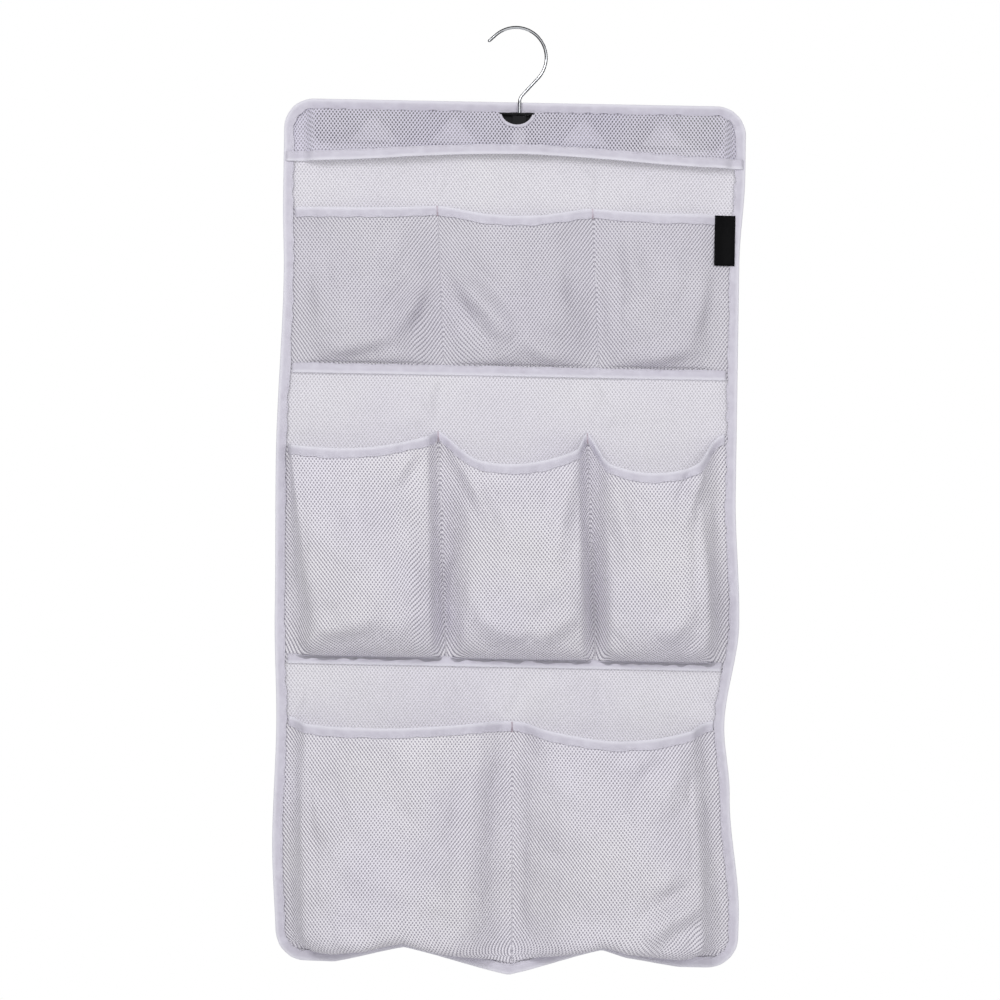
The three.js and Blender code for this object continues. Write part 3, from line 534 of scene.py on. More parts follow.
def grid_faces(lines, columns, around=False, along=False):
    """Quads between the points of a grid. It may close across its columns or along its lines."""
    index = np.arange(lines * columns).reshape(lines, columns)
    if around:
        index = np.hstack([index, index[:, :1]])
    if along:
        index = np.vstack([index, index[:1]])
    quads = np.stack([index[:-1, :-1], index[1:, :-1], index[1:, 1:], index[:-1, 1:]], axis=-1)
    return quads.reshape(-1, 4).tolist()


def end_faces(lines, columns):
    """The two faces that close a grid at its first and last line, where it closes round."""
    return [list(range(columns)), [(lines - 1) * columns + k for k in range(columns)][::-1]]


def fold_height(folds, x, z):
    """Height of the folds at a place. Each has a shallow valley on both sides."""
    total = np.zeros_like(x)
    for fold in folds:
        (ax, az), (bx, bz) = fold.start, fold.end
        run = math.hypot(bx - ax, bz - az)
        tx, tz = (bx - ax) / run, (bz - az) / run
        over = ((x - ax) * tx + (z - az) * tz) / run
        arch = np.sin(math.pi * np.clip(over, 0, 1))
        beyond = np.maximum(0, np.maximum(-over, over - 1)) * run
        aside = (x - ax) * -tz + (z - az) * tx - fold.bow * arch
        off = np.hypot(aside, beyond) / fold.width
        crest = np.exp(-off) if fold.sharp else np.exp(-off ** 2)
        beside = (np.abs(aside) / fold.width - VALLEY_AT) / VALLEY_WIDTH
        valley = VALLEY_DEPTH * np.exp(-beside ** 2 - (beyond / fold.width) ** 2)
        total += fold.height * (crest * arch ** FOLD_END_POWER - valley * arch)
    return total


def seam_place(row, k, z):
    """Place of the seam on the left of a pocket, at a height."""
    return row.seams[k - 1] + row.lean * (row.top - z) / (row.top - row.bottom)


def section_at(row, pocket, width, share):
    """Share across and share forward of the points of a pocket's section: two gussets that lie
    flat at first and then rise, and a bowed front, rounded into each other, with the points
    spaced evenly along the cloth."""
    fine_steps = 1600
    across = (1 - np.cos(np.linspace(0, math.pi, fine_steps + 1))) / 2
    sides = ((across, pocket.left_inset, "left"), (1 - across, pocket.right_inset, "right"))
    powers = {pocket.place: EDGE_GUSSET_POWER}
    walls = [(place * width / mix(*inset, share)) ** powers.get(side, SEAM_GUSSET_POWER) + 1e-9
             for place, inset, side in sides]
    front = 1 - row.bow * (1 - 4 * across * (1 - across))
    forward = sum(part ** -row.crease for part in (*walls, front)) ** (-1 / row.crease)
    forward = forward / forward.max()
    shares = np.stack([across, forward], axis=-1)
    far = way_along(shares * [width, row.full_depth])
    return values_at(np.linspace(0, far[-1], row.columns + 1), far, shares).T


def pocket_grid(row, k):
    """One pocket's part of the row's cloth, from its left seam or edge to its right one. Its
    lines run down the band, the body and the base, and end with the sewn foot."""
    pocket = row.pockets[k]
    last = k == len(row.pockets) - 1
    width = PANEL_WIDTH / len(row.pockets)
    band, body, base, foot = row.lines
    base_top = row.bottom + row.foot + row.base
    sections = [section_at(row, pocket, width, share) for share in np.linspace(0, 1, 12)]

    def section(share):
        at = share * (len(sections) - 1)
        low = min(int(at), len(sections) - 2)
        return mix(sections[low], sections[low + 1], at - low)

    across, forward = section(0)
    ends = mix(pocket.left, pocket.right, across)
    corners = mix(pocket.left_corner, pocket.right_corner, across)
    front = corners + pocket.droop * 4 * across * (1 - across)
    edge = row.top - mix(ends, front, forward ** (1 / SEAM_GUSSET_POWER))
    lines = [(0, edge - BAND * share, row.top_depth)
             for share in np.linspace(0, 1, band, endpoint=False)]
    for share in np.linspace(0, 1, body, endpoint=False):
        across, forward = section(share)
        z = mix(edge - BAND, base_top, share) - row.sag * forward * share ** 3
        lines.append((share, z, mix(row.top_depth, row.full_depth, smoother(share))))
    for turn in np.linspace(0, math.pi / 2, base, endpoint=False):
        depth_share = math.cos(turn) ** (2 / row.base_power)
        z = base_top - row.base * math.sin(turn) ** (2 / row.base_power)
        lines.append((1, z - row.sag * section(1)[1] * depth_share, row.full_depth * depth_share))
    for share in np.linspace(0, 1, foot + 1):
        lines.append((1, np.full_like(edge, mix(row.bottom + row.foot, row.bottom, share)), 0))
    grid = []
    for share, z, depth in lines:
        across, forward = section(share)
        inner = bound_half(z) - TAPE_END_GAP - SIDE_FLANGE
        outer = edge_half(z) - CLOTH_INSET
        left = seam_place(row, k, z) + SEAM_FLANGE if k else -inner
        right = inner if last else seam_place(row, k + 1, z) - SEAM_FLANGE
        first = seam_place(row, k, z[0]) if k else -outer[0]
        body = np.stack([mix(left, right, across), CLOTH_Y - depth * forward, z], axis=-1)
        line = [[first, CLOTH_Y, z[0]], *body]
        if last:
            line.append([outer[-1], CLOTH_Y, z[-1]])
        grid.append(line)
    return np.array(grid)


def row_grid(row):
    """The whole row's cloth as it hangs, with its folds."""
    grid = drape(np.concatenate([pocket_grid(row, k) for k in range(len(row.pockets))], axis=1))
    normals = grid_normals(grid)
    x, y, z = np.moveaxis(grid, -1, 0)
    free = smooth((CLOTH_Y - y) / FREE_DEPTH)
    facing = np.clip(-normals[..., 1], LEAST_FACING, 1)
    wrinkles = waves(ROWS.index(row) * 10 + 1, ROW_WAVES, x, z)
    height = (fold_height(FOLDS[row.name], x, z) + wrinkles) * free * facing
    return grid + normals * height[..., None]


def panel_grid():
    """The back panel's cloth, with streaks where no pocket covers it."""
    down = np.linspace(CLOTH_INSET, PANEL_HEIGHT - CLOTH_INSET, round(PANEL_HEIGHT / CLOTH_STEP))
    share = np.linspace(-1, 1, round(PANEL_WIDTH / CLOTH_STEP))
    z = PANEL_TOP - down[:, None] + 0 * share
    x = (edge_half(z) - CLOTH_INSET) * share
    grid = drape(np.stack([x, np.full_like(x, PANEL_Y), z], axis=-1))
    bare = np.zeros_like(z)
    for above, row in zip((PANEL_TOP - SLEEVE_HEIGHT, SMALL_ROW.bottom, MEDIUM_ROW.bottom), ROWS):
        bare += smooth((above - z) / BARE_FADE) * smooth((z - row.top + BARE_OVERLAP) / BARE_FADE)
    margin = smooth(inside_binding(x) / BARE_FADE)
    wave = waves(51, PANEL_WAVES, x, z)
    for (cx, cz), way, reach in STREAKS:
        far = np.hypot(grid[..., 0] - cx, grid[..., 2] - cz)
        turn = np.arctan2(grid[..., 2] - cz, grid[..., 0] - cx) - math.radians(way)
        turn = (turn + math.pi) % TAU - math.pi
        fan = np.cos(turn * STREAK_RATE) * np.exp(-(turn / STREAK_SPREAD) ** 2)
        fade = smooth(far / STREAK_START) * (1 - smooth((far - reach * 0.5) / reach))
        wave += STREAK_HEIGHT * fan * fade
    streaked = np.clip(wave, *STREAK_LIMITS) * bare * margin
    grid[..., 1] -= streaked + waves(53, PANEL_SWELL, x, z) * margin
    return grid, np.stack([x, z], axis=-1)


def corner_top(reach, radius, inset):
    """Top of the panel's outline at a reach from its middle, for an outline inside its edge."""
    past = np.clip(reach - (HALF_WIDTH - inset - radius), 0, radius)
    return PANEL_TOP - inset - radius + np.sqrt(radius ** 2 - past ** 2)


def hem_height(reach):
    return PANEL_TOP - SLEEVE_HEIGHT + HEM_RISE * np.cos(math.pi / 2 * reach / HALF_WIDTH) ** 2


def sleeve_grid():
    """The flap in front of the bar: down behind its edge, forward over the bar and down."""
    wide = np.linspace(-1, 1, round(PANEL_WIDTH / CLOTH_STEP)) * (HALF_WIDTH - CLOTH_INSET)
    near_notch = NOTCH_FINE_REACH * NOTCH_HALF_WIDTH
    close = np.linspace(-near_notch, near_notch, 44) + NOTCH_X
    x = np.unique(np.concatenate([wide[np.abs(wide - NOTCH_X) > near_notch], close]))
    reach = np.abs(x)
    bar = BAR_LENGTH / 2 + LAYER_GAP + np.sign(x) * STEM_X
    bulge = 1 - smooth((reach - bar) / (np.minimum(bar + SLEEVE_TAPER, SLEEVE_REACH) - bar))
    top = corner_top(reach, CORNER_RADIUS, 0) - CLOTH_INSET
    bend = corner_top(reach, CORNER_RADIUS - BEND_INSET, BEND_INSET)
    front = mix(CLOTH_Y, SLEEVE_Y, bulge)
    radius = np.minimum(BEND_RADIUS, (CLOTH_Y - front) / 2)
    lines = []
    for share in np.linspace(0, 1, 5):
        lines.append((np.full_like(x, CLOTH_Y), mix(top, bend + radius, share)))
    for turn in np.linspace(0, math.pi / 2, 6)[1:]:
        lines.append((CLOTH_Y - radius * (1 - np.cos(turn)), bend + radius * (1 - np.sin(turn))))
    for turn in np.linspace(0, math.pi / 2, 6):
        lines.append((front + radius * (1 - np.sin(turn)), bend - radius * (1 - np.cos(turn))))
    for share in np.linspace(0, 1, 24)[1:]:
        lines.append((front, mix(bend - radius, hem_height(reach), share)))
    y, z = np.moveaxis(np.array(lines), 1, 0)
    x = np.broadcast_to(x, y.shape)
    hang = smooth((bend - 0.008 - z) / 0.030) * smooth(inside_binding(x) / 0.020)
    uneven = waves(61, SLEEVE_WAVE, x, z * 0.4) + waves(62, SLEEVE_CRINKLE, x, z)
    height = np.clip(uneven + fold_height(SLEEVE_FOLDS, x, z), -0.0005, 0.004)
    grid = drape(np.stack([x, y - height * hang, z], axis=-1))
    return grid, cloth_uv(grid)


# Solids along a line

def bed_of(grid):
    """Places on a cloth at a way in from its first line, and the cloth's normals there."""
    normals = grid_normals(grid)
    far = way_along(grid)
    column = np.arange(grid.shape[1])
    inward = unit(grid[1] - grid[0])

    def at(way):
        if way <= 0:
            return grid[0] + inward * way, normals[0]
        k = np.clip((far <= way).sum(axis=0) - 1, 0, len(grid) - 2)
        share = ((way - far[k, column]) / (far[k + 1, column] - far[k, column]))[:, None]
        place = mix(grid[k, column], grid[k + 1, column], share)
        return place, unit(mix(normals[k, column], normals[k + 1, column], share))
    return at


def flat_bed(edge, inward):
    """A bed that faces straight forward, along an edge with its own way in."""
    return lambda way: (edge + inward * way, np.broadcast_to(FORWARD, edge.shape))


def tape_section(width, wall, low, high):
    """Outline of a tape folded over an edge, as way in from the edge and way off the cloth.
    The stitches draw the tape in where they run, and it swells beside them."""
    leg_shares = (1.0, 0.95, STITCH_AT, 0.74, 0.5, 0.25, 0.0)
    dents = (0.0, 0.0001, STITCH_DENT, 0.00006, -0.0002, -0.00016, 0.0)
    turns = np.linspace(0, math.pi, 9)[1:-1]
    middle, half = (high + low) / 2, (high - low) / 2
    leg = list(zip(leg_shares, dents))
    front = [(width * share, high + wall - dent) for share, dent in leg]
    bend = [(-(LAYER_GAP + wall) * math.sin(t), middle + (half + wall) * math.cos(t))
            for t in turns]
    rear = [(width * share, low - wall + dent) for share, dent in leg[::-1]]
    inner_rear = [(width, low), (0.0, low)]
    inner_bend = [(-LAYER_GAP * math.sin(t), middle - half * math.cos(t)) for t in turns[1:-1:2]]
    inner_front = [(0.0, high), (width, high)]
    return front + bend + rear + inner_rear + inner_bend + inner_front


def tape_form(bed, width, wall, low, high, closed=False, seed=0, pucker=TAPE_PUCKER, waver=1.6):
    """Points, faces and cloth places of a folded tape along a bed. It puckers, and its inner
    edge wavers."""
    section = tape_section(width, wall, low, high)
    middle = (high + low) / 2
    base, _ = bed(0)
    far = way_along(np.vstack([base, base[:1]]) if closed else base)[:len(base)]
    uneven = ripple(seed, PUCKER_LENGTH, far, 0)
    ends = ripple(seed + 1, WAVER_LENGTH, far, 0)
    lines, places = [], []
    for (way, off), run in zip(section, way_along(np.array(section))):
        share = max(0, way / width)
        place, normal = bed(way)
        inner, _ = bed(way + WAVER_STEP)
        swell = pucker * uneven * (1 - PUCKER_FADE * share) * (1 if off > middle else REAR_PUCKER)
        aside = (inner - place) * (waver * ends * share)[:, None]
        lines.append(place + aside + normal * (off + swell)[:, None])
        places.append(np.stack([far, np.full_like(far, run)], axis=-1))
    grid = np.stack(lines, axis=1)
    faces = grid_faces(len(base), len(section), around=True, along=closed)
    if not closed:
        faces += end_faces(len(base), len(section))
    return grid.reshape(-1, 3), faces, np.stack(places, axis=1).reshape(-1, 2)


def stitch_form(line, normals, sizes):
    """A row of stitches on a line: short threads that dip into the cloth at both ends."""
    length, gap, radius = sizes.stitch_length, sizes.stitch_gap, sizes.thread_radius
    far = way_along(line)
    count = int((far[-1] - gap) // (length + gap))
    if count < 1:
        return np.zeros((0, 3)), []
    starts = gap / 2 + (far[-1] - gap) / count * np.arange(count)
    shares, thickness, lifts = np.array(STITCH_RINGS).T
    places = (starts[:, None] + shares * length).ravel()
    normal = unit(values_at(places, far, normals))
    ahead = values_at(places + radius, far, line) - values_at(places - radius, far, line)
    side = unit(np.cross(unit(ahead), normal))
    centre = values_at(places, far, line) + normal * np.tile(lifts * radius, count)[:, None]
    size = np.tile(thickness * radius, count)[:, None, None]
    turns = np.linspace(0, TAU, STITCH_SIDES, endpoint=False)[None, :, None]
    around = np.cos(turns) * side[:, None] + np.sin(turns) * normal[:, None]
    rings = centre[:, None] + size * around
    faces = grid_faces(len(shares), STITCH_SIDES, around=True)
    faces += end_faces(len(shares), STITCH_SIDES)
    return joined((stitch, faces) for stitch in rings.reshape(count, -1, 3))


def sweep_form(path, radii, sides, facing):
    """A round solid along a path, with a radius at each point."""
    ahead = unit(np.gradient(path, axis=0))
    side = unit(np.cross(ahead, facing))
    up = np.cross(side, ahead)
    turns = np.linspace(0, TAU, sides, endpoint=False)[None, :, None]
    around = np.cos(turns) * side[:, None] + np.sin(turns) * up[:, None]
    rings = path[:, None] + radii[:, None, None] * around
    faces = grid_faces(len(path), sides, around=True)
    faces += end_faces(len(path), sides)
    return rings.reshape(-1, 3), faces


def joined(forms):
    """Several forms as one: their points one after the other, and their faces renumbered."""
    points, faces, start = [], [], 0
    for form_points, form_faces in forms:
        points.append(form_points)
        faces += [[k + start for k in face] for face in form_faces]
        start += len(form_points)
    return np.concatenate(points), faces


def hook_path():
    """Middle of the hook's wire: stem, neck, crown and tip."""
    crown = np.array([0, WIRE_RADIUS - CROWN_RADIUS])
    start = crown + CROWN_RADIUS * np.array([math.cos(CROWN_START), math.sin(CROWN_START)])
    slant = np.array([math.sin(CROWN_START), -math.cos(CROWN_START)])
    corner = start + slant * (start[0] - STEM_X) / -slant[0]
    cut = NECK_RADIUS * math.tan(-CROWN_START / 2)
    foot = corner[1] - cut
    head = HEAD_TOP - HEAD_THICKNESS
    stem = np.stack([np.full(40, STEM_X), np.linspace(head, foot, 40)], axis=-1)
    turns = np.linspace(0, CROWN_START, 14)[1:]
    neck = np.stack([STEM_X + NECK_RADIUS * (1 - np.cos(turns)),
                     foot - NECK_RADIUS * np.sin(turns)], axis=-1)
    shares = np.linspace(0, 1, 16)[1:, None]
    straight = mix(neck[-1], start, shares)
    turns = np.linspace(CROWN_START, CROWN_END, 80)[1:]
    arc = crown + CROWN_RADIUS * np.stack([np.cos(turns), np.sin(turns)], axis=-1)
    tip_way = np.array([-math.sin(CROWN_END), math.cos(CROWN_END)])
    tip = arc[-1] + tip_way * TIP_LENGTH * np.linspace(0, 1, 12)[1:, None]
    flat = np.concatenate([stem, neck, straight, arc, tip])
    return np.stack([flat[:, 0], np.zeros(len(flat)), flat[:, 1]], axis=-1)


# Pieces

def add_object(name, data):
    made = bpy.data.objects.new(name, data)
    bpy.context.scene.collection.objects.link(made)
    return made


def add_piece(name, form, finish, body, slot, nodes=(), uv=None):
    points, faces = form
    mesh = bpy.data.meshes.new(name)
    mesh.from_pydata(np.asarray(points).tolist(), [], faces)
    if uv is not None:
        corners = np.empty(len(mesh.loops), np.int32)
        mesh.loops.foreach_get("vertex_index", corners)
        places = uv[corners].astype(np.float32).ravel()
        mesh.uv_layers.new(name="cloth").data.foreach_set("uv", places)
    mesh.polygons.foreach_set("use_smooth", [True] * len(mesh.polygons))
    mesh.update()
    mesh.materials.append(material(finish))
    piece = add_object(name, mesh)
    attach(piece, body)
    if nodes:
        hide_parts(*nodes)
    return piece


def add_solid(name, form, *args, **options):
    """A closed piece, with its faces turned to point out."""
    piece = add_piece(name, form, *args, **options)
    shape = bmesh.new()
    shape.from_mesh(piece.data)
    if shape.calc_volume(signed=True) < 0:
        bmesh.ops.reverse_faces(shape, faces=shape.faces[:])
        shape.to_mesh(piece.data)
    shape.free()
    return piece


def add_cloth(name, grid, uv, nodes, pockets=0, finish="knitted_mesh"):
    """A cloth piece. Its pull is -1 at the left side of each pocket and 1 at the right side."""
    lines, columns = grid.shape[:2]
    form = (grid.reshape(-1, 3), grid_faces(lines, columns))
    piece = add_piece(name, form, finish, "organiser", "mesh_fabric", nodes, uv.reshape(-1, 2))
    piece["lines"] = lines
    if pockets:
        pull = np.concatenate([np.linspace(-1, 1, len(part))
                               for part in np.array_split(np.arange(columns), pockets)])
        values = np.tile(pull, lines).astype(np.float32)
        piece.data.attributes.new("pull", "FLOAT", "POINT").data.foreach_set("value", values)
    return piece


def cloth_points(name):
    """A cloth's points as a grid again."""
    piece = bpy.data.objects[name]
    points = np.empty(len(piece.data.vertices) * 3)
    piece.data.vertices.foreach_get("co", points)
    return points.reshape(piece["lines"], -1, 3)


# Materials

def linear(colour):
    """An sRGB hex colour as linear red, green and blue."""
    channels = [(colour >> shift & 255) / 255 for shift in (16, 8, 0)]
    return [c / 12.92 if c <= 0.04045 else ((c + 0.055) / 1.055) ** 2.4 for c in channels]


def add_node(tree, kind, inputs=None, **settings):
    """Adds a node with its settings. Each input is given a value or what feeds it: a socket, or
    a node for its first output."""
    node = tree.nodes.new(kind)
    for name, value in settings.items():
        setattr(node, name, value)
    for name, value in (inputs or {}).items():
        socket = node.inputs[name]
        if isinstance(value, bpy.types.Node):
            value = value.outputs[0]
        if isinstance(value, bpy.types.NodeSocket):
            tree.links.new(value, socket)
        else:
            socket.default_value = (*value, 1) if socket.type == "RGBA" else value
    return node


def knitted_mesh(tree):
    """Warp-knitted polyester mesh, heat-set and undyed: matt white yarns cross on the slant round
    staggered holes, and single fibres cross the holes, so that a hole is a veil more than a gap;
    the veil's grey is painted shade for the dark seen through and within the holes. The yarns of
    one slant stand prouder than the other's where the cloth is pulled that way, to the right of a
    seam one and to its left the other, which gives the cloth its hatch. The thin cloth lets light
    through."""
    colours = bpy.context.scene.organiser_finish
    openness = bpy.context.scene.organiser_cloth.hole_openness
    return knit_surface(tree, openness, colours.mesh, colours.mesh_cast)


def panel_mesh(tree):
    """The same mesh where it hangs flat, with its yarns painted a little greyer: painted shade for
    the light that gets round behind its yarns less than in a full pocket."""
    colours = bpy.context.scene.organiser_finish
    openness = bpy.context.scene.organiser_cloth.hole_openness
    return knit_surface(tree, openness, colours.panel, colours.panel_cast)


def sleeve_mesh(tree):
    """The same mesh pulled over the bar: its holes are drawn open, so that the bar shows dark
    through them, and its yarns are painted darker and bluer, as painted shade for the dark bar
    behind them."""
    colours = bpy.context.scene.organiser_finish
    openness = bpy.context.scene.organiser_cloth.sleeve_openness
    return knit_surface(tree, openness, colours.sleeve, colours.sleeve_cast)


def knit_surface(tree, openness, yarn_colour, cast_colour):
    """Two slanted waves over the flat cloth, mixed by its pull: a hole where they run high, and
    a yarn that stands out where they run low."""
    sizes = bpy.context.scene.organiser_cloth
    shade = bpy.context.scene.organiser_finish.hole_painted_shade
    place = add_node(tree, "ShaderNodeUVMap", uv_map="cloth")
    loose, drawn, fine = (
        add_node(tree, "ShaderNodeTexNoise", {
            "Vector": place, "Scale": 1 / length, "Detail": detail})
        for length, detail in ((0.045, 2.0), (0.110, 1.0), (0.0016, 1.0)))
    pull = add_node(tree, "ShaderNodeAttribute", attribute_name="pull").outputs["Fac"]
    stray = add_node(tree, "ShaderNodeMapRange", {
        "Value": drawn, "From Min": 0.4, "From Max": 0.6, "To Min": 0.42, "To Max": 0.58})
    proud = add_node(tree, "ShaderNodeMath", {0: pull, 1: 0.2, 2: stray}, operation="MULTIPLY_ADD")
    across, down = TAU / sizes.hole_pitch_across, TAU / sizes.hole_pitch_down
    slants = []
    for way in (down, -down):
        turns = add_node(tree, "ShaderNodeVectorMath", {0: place, 1: (across, way, 0)},
                         operation="DOT_PRODUCT").outputs["Value"]
        slants.append(add_node(tree, "ShaderNodeMath", {0: turns}, operation="COSINE"))
    knit = add_node(tree, "ShaderNodeMix", {"Factor": proud, "A": slants[0], "B": slants[1]})
    slack = add_node(tree, "ShaderNodeMath", {0: loose, 1: 0.35, 2: -0.175},
                     operation="MULTIPLY_ADD")
    uneven = add_node(tree, "ShaderNodeMath", {0: knit, 1: slack}, operation="ADD")
    edge = math.cos(math.pi * sizes.hole_share)
    hole = add_node(tree, "ShaderNodeMapRange", {
        "Value": uneven, "From Min": edge - 0.15, "From Max": edge + 0.15},
        interpolation_type="SMOOTHSTEP")
    cover = add_node(tree, "ShaderNodeMath", {0: hole, 1: -openness, 2: 1.0},
                     operation="MULTIPLY_ADD")
    yarn = add_node(tree, "ShaderNodeMapRange", {
        "Value": uneven, "From Min": -0.7, "From Max": edge, "To Min": 1.0, "To Max": 0.0})
    relief = add_node(tree, "ShaderNodeMath", {0: fine, 1: 0.35, 2: yarn}, operation="MULTIPLY_ADD")
    bump = add_node(tree, "ShaderNodeBump", {
        "Strength": 0.6, "Distance": 0.0004, "Height": relief})
    cast = add_node(tree, "ShaderNodeMapRange", {"Value": drawn, "From Min": 0.3, "From Max": 0.7})
    yarns = add_node(tree, "ShaderNodeMix", {0: cast, 6: yarn_colour, 7: cast_colour},
                     data_type="RGBA").outputs[2]
    # Painted shade: the holes take the grey hole colour, for the dark seen through and within them
    colour = add_node(tree, "ShaderNodeMix", {0: hole, 6: yarns, 7: shade},
                      data_type="RGBA").outputs[2]
    rough = add_node(tree, "ShaderNodeMapRange", {"Value": fine, "To Min": 0.62, "To Max": 0.82})
    shader = add_node(tree, "ShaderNodeBsdfPrincipled", {
        "Base Color": colour, "Roughness": rough, "Normal": bump, "IOR": 1.5,
        "Specular IOR Level": 0.3})
    glow = add_node(tree, "ShaderNodeBsdfTranslucent", {"Color": colour, "Normal": bump})
    cloth = add_node(tree, "ShaderNodeMixShader", {0: 0.15, 1: shader, 2: glow})
    gap = add_node(tree, "ShaderNodeBsdfTransparent")
    return add_node(tree, "ShaderNodeMixShader", {0: cover, 1: gap, 2: cloth})


def woven_tape(tree):
    """Plain-woven polyester tape, folded and ironed flat: even, pale lilac white, with a painted
    highlight along its fold and painted shade in the hollows of its bump, and with fine weft ribs
    that only show as a soft grain. The ribs are drawn about twice as wide as they are."""
    colours = bpy.context.scene.organiser_finish
    place = add_node(tree, "ShaderNodeUVMap", uv_map="cloth")
    axes = add_node(tree, "ShaderNodeSeparateXYZ", {0: place}).outputs
    ribs = []
    for axis, pitch in ((axes[0], 0.0009), (axes[1], 0.0013)):
        turns = add_node(tree, "ShaderNodeMath", {0: axis, 1: TAU / pitch}, operation="MULTIPLY")
        ribs.append(add_node(tree, "ShaderNodeMath", {0: turns}, operation="SINE"))
    weave = add_node(tree, "ShaderNodeMath", {0: ribs[0], 1: ribs[1]}, operation="MULTIPLY")
    cloud = add_node(tree, "ShaderNodeTexNoise", {
        "Vector": place, "Scale": 1 / 0.010, "Detail": 4.0})
    lifted = add_node(tree, "ShaderNodeMath", {0: weave, 1: 0.25, 2: cloud},
                      operation="MULTIPLY_ADD")
    bump = add_node(tree, "ShaderNodeBump", {
        "Strength": 0.35, "Distance": 0.0003, "Height": lifted})
    # Painted shade: the tape darkens where its cloud bump sinks
    out_of_hollow = add_node(tree, "ShaderNodeMapRange", {
        "Value": cloud, "From Min": 0.3, "From Max": 0.7})
    flat = add_node(tree, "ShaderNodeMix", {0: out_of_hollow, 6: colours.tape_hollow_painted_shade, 7: colours.tape},
                    data_type="RGBA").outputs[2]
    # Painted highlight: the tape lightens along its fold
    aside = add_node(tree, "ShaderNodeMath", {0: axes[1], 1: TAPE_FOLD_AT}, operation="SUBTRACT")
    off = add_node(tree, "ShaderNodeMath", {0: aside}, operation="ABSOLUTE")
    fold_highlight = add_node(tree, "ShaderNodeMapRange", {
        "Value": off, "From Min": 0.0015, "From Max": 0.0050, "To Min": 1.0, "To Max": 0.0},
        interpolation_type="SMOOTHSTEP")
    colour = add_node(tree, "ShaderNodeMix", {0: fold_highlight, 6: flat, 7: colours.tape_fold_highlight},
                      data_type="RGBA").outputs[2]
    return add_node(tree, "ShaderNodeBsdfPrincipled", {
        "Base Color": colour, "Normal": bump, "Roughness": 0.68, "IOR": 1.5, "Sheen Weight": 0.1})


def sewing_thread(tree):
    """Spun polyester sewing thread: a soft round yarn whose twist shows as slanting lines."""
    return thread_surface(tree, bpy.context.scene.organiser_finish.thread)


def bartack_thread(tree):
    """The same thread laid dense in a bartack, where it looks warmer and darker."""
    return thread_surface(tree, bpy.context.scene.organiser_finish.bartack)


def thread_surface(tree, colour):
    """Slanting bands for the thread's twist, raised on the plies, with painted shade where the
    bands sink.
    """
    place = add_node(tree, "ShaderNodeTexCoord").outputs["Object"]
    twist = add_node(tree, "ShaderNodeTexWave", {
        "Vector": place, "Scale": 1 / 0.0006 / 20, "Distortion": 1.0}, bands_direction="DIAGONAL")
    # Painted shade: the thread is darker where the twist's bands sink
    twist_groove_shade = add_node(tree, "ShaderNodeMix", {0: twist, 6: [c * 0.86 for c in colour], 7: colour},
                    data_type="RGBA").outputs[2]
    bump = add_node(tree, "ShaderNodeBump", {"Strength": 0.4, "Distance": 0.0001, "Height": twist})
    return add_node(tree, "ShaderNodeBsdfPrincipled", {
        "Base Color": twist_groove_shade, "Normal": bump, "Roughness": 0.6})


def woven_label(tree):
    """Black polyester satin label tape, bare: close warp floats give it a low silky gloss along
    fine lengthwise lines, drawn at twice their width."""
    place = add_node(tree, "ShaderNodeUVMap", uv_map="cloth")
    across = add_node(tree, "ShaderNodeSeparateXYZ", {0: place})
    turns = add_node(tree, "ShaderNodeMath", {0: across, 1: TAU / 0.0008}, operation="MULTIPLY")
    floats = add_node(tree, "ShaderNodeMath", {0: turns}, operation="SINE")
    grain = add_node(tree, "ShaderNodeTexNoise", {
        "Vector": place, "Scale": 1 / 0.004, "Detail": 5.0})
    lifted = add_node(tree, "ShaderNodeMath", {0: floats, 1: 0.4, 2: grain},
                      operation="MULTIPLY_ADD")
    bump = add_node(tree, "ShaderNodeBump", {
        "Strength": 0.3, "Distance": 0.0003, "Height": lifted})
    colour = add_node(tree, "ShaderNodeMix", {0: grain, 6: linear(0x040405), 7: linear(0x0C0C0E)},
                      data_type="RGBA").outputs[2]
    return add_node(tree, "ShaderNodeBsdfPrincipled", {
        "Base Color": colour, "Normal": bump, "Roughness": 0.5, "Specular IOR Level": 0.06})


def moulded_plastic(tree):
    """Black polypropylene, injection moulded with a fine spark-eroded grain: a soft wide gloss
    that is a little duller where it has been handled."""
    place = add_node(tree, "ShaderNodeTexCoord").outputs["Object"]
    grain = add_node(tree, "ShaderNodeTexNoise", {
        "Vector": place, "Scale": 1 / 0.0006, "Detail": 3.0})
    wear = add_node(tree, "ShaderNodeTexNoise", {
        "Vector": place, "Scale": 1 / 0.030, "Detail": 5.0})
    colour = add_node(tree, "ShaderNodeMix", {0: wear, 6: linear(0x0C0C0E), 7: linear(0x17171A)},
                      data_type="RGBA").outputs[2]
    rough = add_node(tree, "ShaderNodeMapRange", {"Value": wear, "To Min": 0.34, "To Max": 0.56})
    bump = add_node(tree, "ShaderNodeBump", {
        "Strength": 0.25, "Distance": 0.0001, "Height": grain})
    return add_node(tree, "ShaderNodeBsdfPrincipled", {
        "Base Color": colour, "Roughness": rough, "Normal": bump, "IOR": 1.49,
        "Specular IOR Level": 0.15})


def plated_wire(tree):
    """Drawn steel wire with bright nickel plating: a mirror with faint lengthwise draw marks,
    which stretch its highlights along the wire."""
    plating = bpy.context.scene.organiser_finish.wire
    place = add_node(tree, "ShaderNodeTexCoord").outputs["Object"]
    marks = add_node(tree, "ShaderNodeTexNoise", {
        "Vector": place, "Scale": 1 / 0.0012, "Detail": 4.0})
    rough = add_node(tree, "ShaderNodeMapRange", {"Value": marks, "To Min": 0.05, "To Max": 0.14})
    colour = add_node(tree, "ShaderNodeMix", {0: marks, 6: [c * 0.8 for c in plating], 7: plating},
                      data_type="RGBA").outputs[2]
    return add_node(tree, "ShaderNodeBsdfPrincipled", {
        "Base Color": colour, "Roughness": rough, "Metallic": 1.0})


